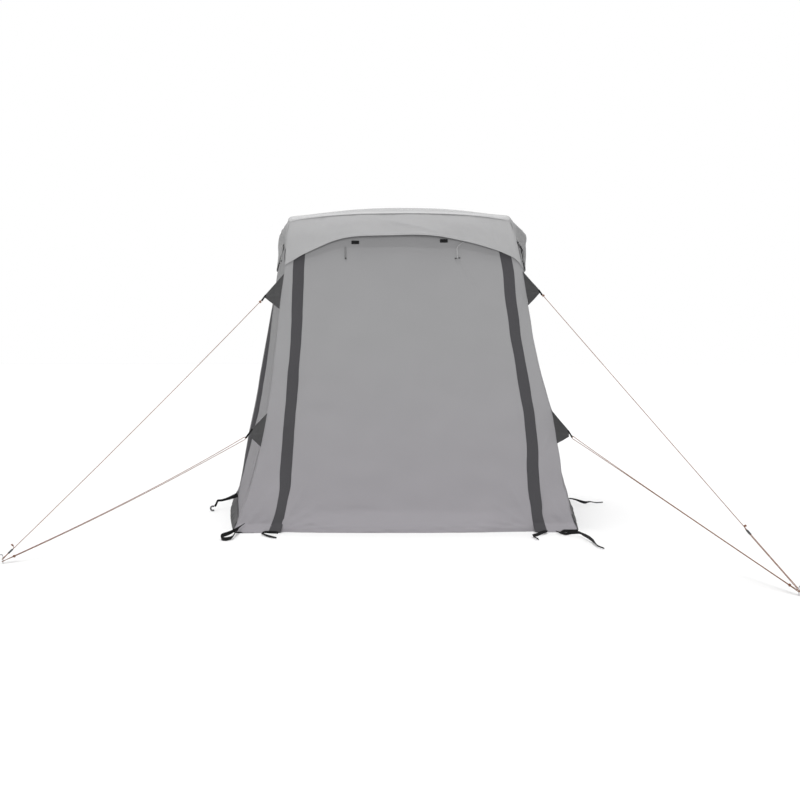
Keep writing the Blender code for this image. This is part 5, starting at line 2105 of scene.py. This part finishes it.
    def build_single_line(self, slider: float) -> None:
        """Builds a strand from its knot at the tab to the slider, round the peg and back to a tail.

        Args:
            slider: distance of the slider's middle from the peg.
        """
        above, below = slider + self.slider_room[0], slider - self.slider_room[1]
        down = np.linspace(self.length, above, 90)
        single = self.at(down, self.strand_gap * (self.length - down) / (self.length - above))
        near = np.linspace(below, 0.012, 14)
        pull = smooth_step(0.0, below, near) ** 0.5
        turn = self.peg_turn()
        at_peg = abs(float(np.dot(turn[0] - self.foot, self.aside)))
        sideways = at_peg + (self.strand_gap - at_peg) * pull
        tail = smooth_path([
            *(self.at(place, -self.strand_gap) for place in (below, slider, above)),
            self.at(above + 0.009, -0.006, 0.008), self.at(above + 0.006, -0.01, 0.024),
        ], 24)
        path = np.concatenate([
            single, self.at(near, sideways), turn, self.at(near[::-1], -sideways), tail[1:],
        ])
        name = f"{self.spec.name}_guy_rope"
        piece = add_tube(name, path, self.rope, 10, Finishes.rope, self.upward + 0.45 * self.aside)
        dress(piece, Slot.ROPE, f"{self.spec.name}_guy_line")
        self.build_knot(f"{self.spec.name}_guy_knot", self.at(self.length - 0.012), 0.0027)
        self.build_knot(f"{self.spec.name}_tail_knot", path[-3], 0.0022)
        self.build_slider(slider)

    def build_knot(self, name: str, centre: Array, size: float) -> None:
        """Builds an overhand knot, a trefoil: (sin t + 2 sin 2t, cos t - 2 cos 2t, -1.6 sin 3t) scaled.

        Args:
            name: the piece's name.
            centre: the knot's middle.
            size: a third of its half width.
        """
        t = np.linspace(0.0, 2.0 * math.pi, 72, endpoint=False)
        shape = size * np.stack([
            np.sin(t) + 2.0 * np.sin(2.0 * t), np.cos(t) - 2.0 * np.cos(2.0 * t), -1.6 * np.sin(3.0 * t),
        ], axis=-1)
        axes = np.stack([self.aside, self.upward, self.along])
        path = centre + shape @ axes
        ahead = np.roll(path, -1, axis=0) - np.roll(path, 1, axis=0)
        hint = np.cross(unit(ahead), unit(path - centre))
        piece = add_tube(name, path, self.rope, 9, Finishes.rope, hint, closed=True)
        dress(piece, Slot.ROPE)

    def build_slider(self, distance: float) -> None:
        """Builds the slider: an oval sleeve with rounded lips, a waist for the fingers, and one long bore.

        Its rings are ellipses a cos t, b sin t. The outer ones swell by 1 - |s|^4 and dip at grip ribs.

        Args:
            distance: of its middle from the peg.
        """
        length, wide, high, wall = self.slider_size
        s = np.linspace(-1.0, 1.0, 41)
        lip = np.sqrt(np.maximum(1.0 - np.abs(s) ** 8, 0.0))
        ribs = 0.00035 * np.cos(s * math.pi * 9.0) * (np.abs(s) < 0.62)
        swell = 0.93 + 0.07 * s**2
        outer = np.stack([half - wall + wall * lip * swell + ribs for half in (wide, high)], axis=-1)
        inner_s = s[::-1][2:-2]
        inner = np.tile([wide - wall, high - wall], (len(inner_s), 1))
        sizes = np.concatenate([outer, inner])
        places = np.concatenate([s, inner_s]) * length / 2.0
        turn = np.linspace(0.0, 2.0 * math.pi, 36, endpoint=False)
        centre, ahead = self.at(distance), unit(self.at(distance + 0.01) - self.at(distance - 0.01))
        upward = np.cross(self.aside, ahead)
        rings = centre + ahead * places[:, None, None]
        rings = rings + self.aside * (sizes[:, :1] * np.cos(turn))[..., None]
        rings = rings - upward * (sizes[:, 1:] * np.sin(turn))[..., None]
        name = f"{self.spec.name}_guy_slider"
        piece = add_rings(name + "_body", rings, Finishes.plastic, closed=True)
        dress(piece, Slot.PLASTIC, name)


@dataclass
class Guys:
    """The four guy lines and the two pegs that hold them."""

    peg_height: float = 0.04  # of the straight rod above the ground
    hook: float = 0.013  # how far its half turn reaches
    peg_radius: float = 0.003  # of the rod
    point: float = 0.0001  # radius of its blunt end

    def build(self) -> None:
        """Builds every tab, line and peg."""
        stitching = Stitching("guy_tab_stitching", Slot.DARK_CLOTH, Finishes.dark_thread)
        for spec in GUYS:
            guy = Guy(spec)
            guy.build_tab(stitching)
            guy.build_line()
            if spec.slider is not None:
                self.build_peg(spec, guy.away)
        stitching.make()

    def build_peg(self, spec: GuySpec, ahead: Array) -> None:
        """Builds a peg's head: a straight rod, a half turn, and a blunt point.

        The half turn is two curves (1-s)^2 A + 2s(1-s) C + s^2 B: from the rod's top up and over, with
        C above the rod, and on down to the point, with C above that.

        Args:
            spec: the upper line that it holds.
            ahead: the level direction that its hook points.
        """
        base = np.array([*spec.peg, 0.0])
        top = base + UP * self.peg_height
        rod = base + UP * np.linspace(0.0, self.peg_height, 9)[:-1, None]
        s = np.linspace(0.0, 1.0, 17)[:, None]
        crook = top + (2 * s * (1 - s)) * UP * self.hook + s**2 * (ahead * self.hook + UP * self.hook)
        drop = top + ahead * self.hook * 1.9 + UP * self.hook * 0.3
        t = np.linspace(0.0, 1.0, 9)[1:, None]
        knee = top + ahead * self.hook * 1.62 + UP * self.hook
        point = (1 - t) ** 2 * crook[-1] + 2 * t * (1 - t) * knee + t**2 * drop
        path = np.concatenate([rod, crook, point])
        hand = spec.name.replace("upper_", "")
        side_way = np.cross(ahead, UP)
        piece = add_rings(f"{hand}_peg_head", self.rings(path, side_way), Finishes.peg)
        dress(piece, Slot.PEG, f"{hand}_peg")

    def rings(self, path: Array, side_way: Array) -> Array:
        """Rings round the peg's path, flat at the ground and rounded at the point.

        Args:
            path: the middle line.
            side_way: the level direction across its plane.

        Returns:
            Rings by points by 3.
        """
        steps = np.linspace(0.0, math.pi / 2.0, 6)[1:, None]
        ahead = unit(np.gradient(path, axis=0))
        cap = path[-1] + ahead[-1] * self.peg_radius * np.sin(steps)
        path = np.concatenate([path, cap])
        ahead = np.concatenate([ahead, np.repeat(ahead[-1:], 5, axis=0)])
        shrink = np.concatenate([np.ones(len(path) - 5), np.cos(steps[:, 0])])
        radii = np.maximum(self.peg_radius * shrink, self.point)
        return circles(path, radii, side_way, np.cross(ahead, side_way), 20)


@dataclass(frozen=True)
class StrapSpec:
    """One pegging strap, from the cloth over the ground, and back again where it is a loop."""

    node: str  # the plain solid that it stands for
    knots: tuple[Triple, ...]  # the points that its middle line passes
    # Its turn about its length, evenly spaced along it, in degrees, 0 where it lies flat.
    rolls: tuple[float, ...]
    widths: tuple[float, ...]  # of the webbing, evenly spaced along it
    hooked: bool = False  # whether a hook is at its end


STRAPS = (
    StrapSpec("front_left_corner_strap", (
        (-1.073, -0.02, 0.062), (-1.101, -0.04, 0.045), (-1.128, -0.118, 0.033), (-1.162, -0.229, 0.028),
        (-1.193, -0.272, 0.022), (-1.196, -0.315, 0.015), (-1.188, -0.349, 0.012),
        (-1.163, -0.361, 0.01), (-1.137, -0.33, 0.012), (-1.126, -0.257, 0.016), (-1.119, -0.141, 0.024),
        (-1.112, -0.06, 0.026),
    ), (20, 60, 70, 74, 76, 74, 70, 60), (0.005, 0.02, 0.026, 0.026, 0.025, 0.022)),
    StrapSpec("front_left_seam_strap", (
        (-0.841, -0.29, 0.009), (-0.876, -0.254, 0.01), (-0.912, -0.206, 0.011), (-0.932, -0.166, 0.012),
        (-0.948, -0.118, 0.014), (-0.935, -0.106, 0.016), (-0.905, -0.118, 0.018),
        (-0.87, -0.126, 0.018), (-0.842, -0.13, 0.016),
    ), (60, 62, 66, 60, 50, 66, 72, 70), (0.01, 0.014, 0.014, 0.012, 0.016, 0.02, 0.018)),
    StrapSpec("front_right_seam_strap", (
        (0.944, -0.075, 0.018), (0.927, -0.126, 0.018), (0.897, -0.154, 0.014), (0.861, -0.206, 0.01),
        (0.834, -0.24, 0.01), (0.833, -0.262, 0.01), (0.842, -0.311, 0.01), (0.856, -0.371, 0.009),
    ), (10, 50, 62, 66, 62, 58, 60), (0.019, 0.022, 0.02, 0.016, 0.017)),
    StrapSpec("front_right_corner_strap", (
        (1.01, -0.06, 0.01), (1.034, -0.14, 0.01), (1.062, -0.183, 0.012), (1.1, -0.182, 0.018),
        (1.137, -0.205, 0.024), (1.155, -0.276, 0.024), (1.171, -0.355, 0.023), (1.186, -0.447, 0.019),
        (1.19, -0.507, 0.015), (1.199, -0.646, 0.01), (1.221, -0.718, 0.009),
    ), (50, 60, 64, 68, 70, 70, 70, 68, 62, 60), (
        0.01, 0.02, 0.022, 0.022, 0.028, 0.034, 0.036, 0.032, 0.016, 0.014,
    )),
    StrapSpec("left_side_strap", (
        (-1.243, 1.15, 0.096), (-1.274, 1.12, 0.086), (-1.306, 1.09, 0.077), (-1.349, 1.05, 0.069),
        (-1.378, 1.02, 0.068), (-1.384, 1.0, 0.052), (-1.393, 0.98, 0.033),
    ), (75, 78, 75, 66, 60), (0.036, 0.026, 0.018, 0.017, 0.017), True),
    StrapSpec("right_side_strap", (
        (1.245, 1.14, 0.062), (1.264, 1.15, 0.064), (1.301, 1.16, 0.058), (1.339, 1.2, 0.044),
        (1.375, 1.222, 0.029), (1.41, 1.25, 0.018), (1.451, 1.28, 0.019), (1.501, 1.3, 0.01),
        (1.56, 1.335, 0.008),
    ), (50, 60, 66, 70, 60, 50, 60), (0.01, 0.012, 0.014, 0.02, 0.022, 0.01, 0.012, 0.01)),
)


@dataclass
class Straps:
    """The webbing straps that peg the hem down, and the black tape under the hem's corners."""

    thickness: float = 0.0014  # of the webbing
    ground_gap: float = 0.0012  # the least height of its lower edge
    forward: float = 0.046  # how far the tapes at the two front corners reach forwards
    hook_radius: float = 0.015  # of the hook's ring
    hook_wire: float = 0.0062  # radius of the hook's own thickness
    hook_middle: Triple = (-0.014, -0.02, -0.012)  # from the strap's end to the middle of the ring
    hook_floor: float = 0.0068  # the least height of the ring's middle line
    tape_out: float = 0.003  # from the middle of the wall cloth to a tape
    tape_rows: tuple[float, ...] = (0.0005, 0.003, 0.007, 0.01)  # heights of the tape's rows

    def build(self) -> None:
        """Builds every strap, its end fitting, and the tapes."""
        for spec in STRAPS:
            self.build_strap(spec)
        for corner in Side:
            self.build_tape(corner)

    def build_strap(self, spec: StrapSpec) -> None:
        """Builds one strap, as a ribbon that turns about its own line and stays above the ground.

        The way across it is sideways times cos(roll) plus upward times sin(roll).

        Args:
            spec: the strap.
        """
        count = 18 * len(spec.knots)
        line = smooth_path(spec.knots, count)
        ahead = unit(np.gradient(line, axis=0))
        sideways = unit(np.cross(ahead, UP))
        upward = np.cross(sideways, ahead)
        share = np.linspace(0.0, 1.0, count)
        roll, width = (
            smooth_curve(tuple(zip(np.linspace(0.0, 1.0, len(values)), values)), share)[:, None]
            for values in (spec.rolls, spec.widths)
        )
        roll = np.radians(roll)
        way = sideways * np.cos(roll) + upward * np.sin(roll)
        low = line - np.abs(way[:, 2:]) * width / 2.0 * UP
        line = line + UP * np.maximum(self.ground_gap - low[:, 2:], 0.0)
        name = spec.node.replace("_strap", "_webbing")
        piece = add_ribbon(name, line, way, width[:, 0], self.thickness, Finishes.webbing)
        dress(piece, Slot.WEBBING, spec.node)
        if spec.hooked:
            self.build_hook(f"{name}_hook", line[-1])

    def build_hook(self, name: str, end: Array) -> None:
        """Builds the hook at the left strap's end: most of a ring that faces the front.

        The ring is radius (cos t to the right, 1.12 sin t upwards), held above the ground.

        Args:
            name: the piece's name.
            end: the strap's end.
        """
        turn = np.linspace(0.36, 1.62, 30)[:, None] * math.pi
        right = np.array([1.0, 0.12, 0.0])
        centre = end + np.array(self.hook_middle)
        crook = centre + self.hook_radius * (np.cos(turn) * right + np.sin(turn) * UP * 1.12)
        crook[:, 2] = np.maximum(crook[:, 2], self.hook_floor)
        piece = add_tube(name, crook, self.hook_wire, 12, Finishes.plastic, np.array([0.12, -1.0, 0.0]))
        dress(piece, Slot.PLASTIC)

    def build_tape(self, corner: Side) -> None:
        """Builds the black tape that binds the hem round a corner: a low strip bent as the corner is.

        Args:
            corner: the side that starts there.
        """
        run = np.concatenate([
            np.linspace(-0.05, -0.031, 4), np.linspace(-0.03, 0.03, 15), np.linspace(0.031, 0.13, 14),
        ])
        if corner in (Side.RIGHT, Side.LEFT):
            run = -run[::-1]
        height = np.array(self.tape_rows)[:, None]
        reach, rise = ((0.04, 0.06), 1.0) if corner == Side.FRONT else ((0.09, 0.13), 1.9)
        taper = rise * (1.0 - 0.85 * smooth_step(*reach, np.abs(run))[None, :])
        shape = FORM.round_corner(corner, run[None, :] + 0.0 * height, height * taper, self.tape_out)
        if corner in (Side.FRONT, Side.RIGHT):
            shape[..., 1] -= self.forward
        normals = level_normals(shape)
        relief = Ripples(60 + corner, 0.0006, 0.03, 0.09).relief(run[None, :], height) + 0.0008
        name, places = f"{CORNER_NAMES[corner]}_hem_tape", (height, run[None, :])
        cloth = ClothPiece(name, shape, relief, normals, self.thickness, places)
        dress(cloth.make(Finishes.webbing), Slot.WEBBING)


@dataclass
class PanelFittings:
    """The patches and ties that hold a panel when it is rolled up, under each hood."""

    side_scale: float = 0.55  # how much closer together they are on the left and right
    patch_size: Pair = (0.053, 0.024)  # width and height of a patch
    patch_thickness: float = 0.0014  # of its webbing
    # Place across from the panel's middle, and height, of each.
    patches: Knots = ((-0.333, 1.944), (0.267, 1.955))
    tie_at: Pair = (-0.4, 0.356)  # places across of the loop tie and of the toggle tie
    tie_top: float = 1.912  # height from which the ties hang
    tie_drop: float = 0.072  # how far the loop tie hangs down
    cord: float = 0.0016  # radius of the cord
    bead: Pair = (0.012, 0.0056)  # length and radius of the loop's bead
    toggle: Pair = (0.015, 0.0046)  # length and radius of a toggle
    # Place across and drop of the two toggles, from their cord's end.
    toggle_places: Knots = ((-0.0115, 0.006), (0.0135, 0.003))

    def build(self) -> None:
        """Builds the fittings of the four panels."""
        stitching = Stitching("patch_stitching", Slot.WEBBING, Finishes.thread, pitch=0.0034, length=0.0024)
        for side in Side:
            scale = 1.0 if side in (Side.FRONT, Side.REAR) else self.side_scale
            for number, (x, height) in enumerate(self.patches):
                self.build_patch(side, number, x * scale, height, stitching)
            self.build_loop_tie(side, self.tie_at[0] * scale)
            self.build_toggle_tie(side, self.tie_at[1] * scale)
        stitching.make()

    def spot(self, side: Side, across: Array, height: Array, out: Array) -> Array:
        """Points on a side, measured across from its middle.

        Args:
            side: the side.
            across: places to the right of its middle, seen from outside.
            height: heights above the ground.
            out: distances outwards from the middle of the wall cloth.

        Returns:
            The points, with a last axis of 3.
        """
        across, height, out = np.broadcast_arrays(across, height, out)
        start, end = FORM.corner(side, height), FORM.corner(side.following, height)
        way = unit(end - start)
        middle = (start + end) / 2.0
        if side == Side.FRONT:
            middle = middle - way * middle[..., :1]
        return middle + way * across[..., None] + FORM.outward(side) * out[..., None]

    def build_patch(self, side: Side, number: int, x: float, middle: float, stitching: Stitching) -> None:
        """Builds a sewn-on patch: a small plate of webbing with rounded corners and a soft edge.

        Its points are (a, b) half sizes from its middle, times 1 - 0.1 a^8 b^8.

        Args:
            side: the side it is on.
            number: its number there.
            x: its place across.
            middle: its height.
            stitching: takes its rows of stitches.
        """
        wide, high = self.patch_size
        a, b = np.meshgrid(np.linspace(-1.0, 1.0, 25), np.linspace(-1.0, 1.0, 15))
        across, up = a * wide / 2.0, b * high / 2.0
        rim = np.minimum((1.0 - np.abs(a)) * wide, (1.0 - np.abs(b)) * high) / 2.0
        squeeze = 1.0 - 0.1 * (a**8) * (b**8)
        shape = self.spot(side, x + across * squeeze, middle + up * squeeze, FORM.cloth / 2.0 + 0.0012)
        relief = 0.0016 * smooth_step(0.0, 0.003, rim) + Ripples(77, 0.0002, 0.01, 0.03).relief(across, up)
        name, out = f"{side.label}_tie_patch_{number + 1}", FORM.outward(side)
        cloth = ClothPiece(name, shape, relief, out, self.patch_thickness, (up, across))
        dress(cloth.make(Finishes.webbing), Slot.WEBBING)
        for row in (2.0, 12.0):
            stitching.along(*cloth.row_line(row, slice(2, 23)))
        for column in (2.0, 22.0):
            stitching.along(*cloth.column_line(column, slice(2, 13)))

    def build_loop_tie(self, side: Side, x: float) -> None:
        """Builds the narrow elastic loop, two strands side by side that join in a small bead.

        At a share t of the way down they lie 3 mm + 0.6 mm sin(pi t) to each side, and stand out from
        the wall by half a sine.

        Args:
            side: the side it is on.
            x: its place across.
        """
        t = np.linspace(0.0, 1.0, 20)
        gap = 0.003 + 0.0006 * np.sin(math.pi * t)
        out = FORM.cloth / 2.0 + 0.0035 + 0.006 * np.sin(math.pi * t * 0.8)
        down = self.spot(side, x - gap, self.tie_top - self.tie_drop * t, out)
        back = self.spot(side, x + gap, self.tie_top - self.tie_drop * t, out)[::-1]
        turn = np.linspace(math.pi, 2.0 * math.pi, 9)[1:-1]
        foot = self.tie_top - self.tie_drop
        low = self.spot(side, x + gap[-1] * np.cos(turn), foot + gap[-1] * np.sin(turn), out[-1])
        path = np.concatenate([down, low, back])
        name = f"{side.label}_loop"
        piece = add_tube(f"{name}_tie", path, self.cord, 8, Finishes.dark_cord, FORM.outward(side))
        dress(piece, Slot.GREY_CLOTH)
        self.build_toggle(f"{name}_bead", side, x + 0.002, foot - 0.004, self.bead, out[-1])

    def build_toggle_tie(self, side: Side, x: float) -> None:
        """Builds the cord that hangs from an arc under the hood, with two toggles side by side at its end.

        Args:
            side: the side it is on.
            x: its place across.
        """
        knots = [
            (x + 0.048, self.tie_top + 0.034, 0.0045), (x + 0.02, self.tie_top + 0.018, 0.01),
            (x + 0.002, self.tie_top - 0.004, 0.012), (x + 0.001, self.tie_top - 0.038, 0.011),
            (x + 0.002, self.tie_top - 0.07, 0.009),
        ]
        line = smooth_path(knots, 40)
        for number, aside in enumerate((-0.0019, 0.0019), start=1):
            path = self.spot(side, line[:, 0] + aside, line[:, 1], line[:, 2] + FORM.cloth / 2.0)
            name = f"{side.label}_toggle_tie_{number}"
            piece = add_tube(name, path, self.cord, 8, Finishes.cord, FORM.outward(side))
            dress(piece, Slot.GREY_CLOTH)
        end, out = knots[-1], knots[-1][2] + FORM.cloth / 2.0
        for number, (aside, drop) in enumerate(self.toggle_places, start=1):
            name = f"{side.label}_toggle_{number}"
            self.build_toggle(name, side, end[0] + aside, end[1] - drop, self.toggle, out)

    def build_toggle(
        self, name: str, side: Side, x: float, height: float, size: Pair, out: float,
    ) -> None:
        """Builds a barrel-shaped toggle that lies across its cord: radius r (1 - 0.22 s^2), with round ends.

        Args:
            name: the piece's name.
            side: the side it is on.
            x: its place across.
            height: of its middle.
            size: its length and radius.
            out: how far its middle stands out from the middle of the wall cloth.
        """
        length, thick = size
        s = np.linspace(-1.0, 1.0, 25)
        radius = thick * (1.0 - 0.22 * s**2) * np.maximum(np.sqrt(1.0 - np.abs(s) ** 7), 0.05)
        centres = self.spot(side, x + s * length / 2.0, height + 0.0 * s, out + 0.0 * s)
        lift = FORM.outward(side)
        rise = np.cross(unit(centres[-1] - centres[0]), lift)
        dress(add_rings(name, circles(centres, radius, lift, rise, 16), Finishes.plastic), Slot.PLASTIC)


@dataclass
class InnerFrame:
    """The steel poles, whose solids already have their shape."""

    poles: tuple[str, ...] = (  # their names
        "front_frame_pole", "rear_frame_pole", "left_eave_pole", "right_eave_pole", "roof_bow_pole",
    )

    def dress(self) -> None:
        """Gives every pole its steel."""
        for pole in self.poles:
            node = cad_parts[pole]
            node.data.materials.clear()
            node.data.materials.append(Finishes.tube.material())
            LOG.info("%s: dressed in steel", pole)


@dataclass
class Studio:
    """The floor, the soft light and the camera."""

    camera_place: Triple = (-0.183, -8.889, 1.45)  # where the camera stands
    lens: float = 60.0  # its focal length in millimetres
    sensor: float = 36.0  # width of its picture in millimetres
    sight: float = 200.0  # how far it sees
    floor_half: float = 30.0  # half the floor's width
    floor_level: float = -0.0005  # height of the floor
    pitch_deg: float = 3.626  # how far the camera looks down
    yaw_deg: float = -0.965  # how far it looks to the left
    sky_fade: Pair = (0.2, 0.9)  # shares of the direction backwards over which the sky fades
    side_fade: Pair = (0.34, 0.9)  # the same sideways
    high_fade: Pair = (0.35, 0.75)  # the same upwards
    side_sky: float = 0.9  # strength of the sky at both sides
    front_sky: float = 0.5  # strength of the sky behind the camera
    high_sky: float = 0.1  # strength of the sky overhead
    # Name, strength, spread in degrees and turns in degrees of each lamp.
    lamps: tuple[tuple[str, float, float, Triple], ...] = (
        ("top_light", 3.0, 50.0, (6.0, -4.0, 0.0)),
        ("key_light", 0.9, 5.0, (38.0, 0.0, -12.0)),
        ("flat_light", 2.3, 20.0, (84.0, 0.0, -2.0)),
    )

    def build(self) -> None:
        """Builds the whole studio."""
        self.build_floor()
        self.build_light()
        self.build_camera()

    def build_floor(self) -> None:
        """Builds a wide pale floor just under the ground line."""
        side = np.linspace(-self.floor_half, self.floor_half, 13)
        x, y = np.meshgrid(side, side)
        faces = grid_faces(*x.shape)
        flat = np.stack([x, y, np.full_like(x, self.floor_level)], axis=-1).reshape(-1, 3)
        floor = add_mesh("studio_floor", flat, faces, flat[:, :2][faces], Finishes.floor)

    def build_light(self) -> None:
        """Lights the shelter from a white sky, a soft light overhead and a smaller one above the camera.

        The sky's strength is 1 ahead of the camera, times side_sky towards both sides, front_sky behind
        the camera and high_sky overhead, each reached smoothly over its own fade of the direction.
        """
        world = bpy.data.worlds.new("studio_sky")
        bpy.context.scene.world = world
        world.use_nodes = True
        sky = Nodes(world.node_tree)
        way = sky.axes(sky.place.outputs["Generated"])
        fades = [
            sky.spread(turned, 1.0, strength, *fade, interpolation_type="SMOOTHSTEP")
            for turned, strength, fade in (
                (sky.maths("ABSOLUTE", way["X"]), self.side_sky, self.side_fade),
                (sky.times(way["Y"], -1.0), self.front_sky, self.sky_fade),
                (sky.times(way["Z"], 1.0), self.high_sky, self.high_fade),
            )
        ]
        background = sky.tree.nodes["Background"].inputs
        background["Color"].default_value = rgba((1.0, 1.0, 1.0))
        sky.feed(background["Strength"], sky.times(sky.times(fades[0], fades[1]), fades[2]))
        for name, strength, spread, turns in self.lamps:
            light = bpy.data.lights.new(name, "SUN")
            light.energy = strength
            light.angle = math.radians(spread)
            lamp = bpy.data.objects.new(name, light)
            lamp.rotation_euler = np.radians(turns)
            bpy.context.scene.collection.objects.link(lamp)

    def build_camera(self) -> None:
        """Sets the camera where the photograph was taken from."""
        lens = bpy.data.cameras.new("photo_camera")
        lens.lens = self.lens
        lens.sensor_width = self.sensor
        lens.clip_end = self.sight
        camera = bpy.data.objects.new("photo_camera", lens)
        camera.location = self.camera_place
        camera.rotation_euler = (math.radians(90.0 - self.pitch_deg), 0.0, math.radians(self.yaw_deg))
        bpy.context.scene.collection.objects.link(camera)
        bpy.context.scene.camera = camera
        bpy.context.scene.view_settings.view_transform = "Standard"


def main() -> None:
    """Builds the shelter from its frame outwards, and then the studio."""
    logging.basicConfig(level=logging.INFO, format="%(name)s: %(message)s")
    for old in ("Cube", "Light", "Camera"):
        if old in bpy.data.objects:
            bpy.data.objects.remove(bpy.data.objects[old])
    Studio().build()
    InnerFrame().dress()
    Roof().build()
    Walls().build()
    ZipCovers().build()
    Hoods().build()
    MudSkirts().build()
    Guys().build()
    Straps().build()
    PanelFittings().build()


if __name__ == "__main__":
    main()
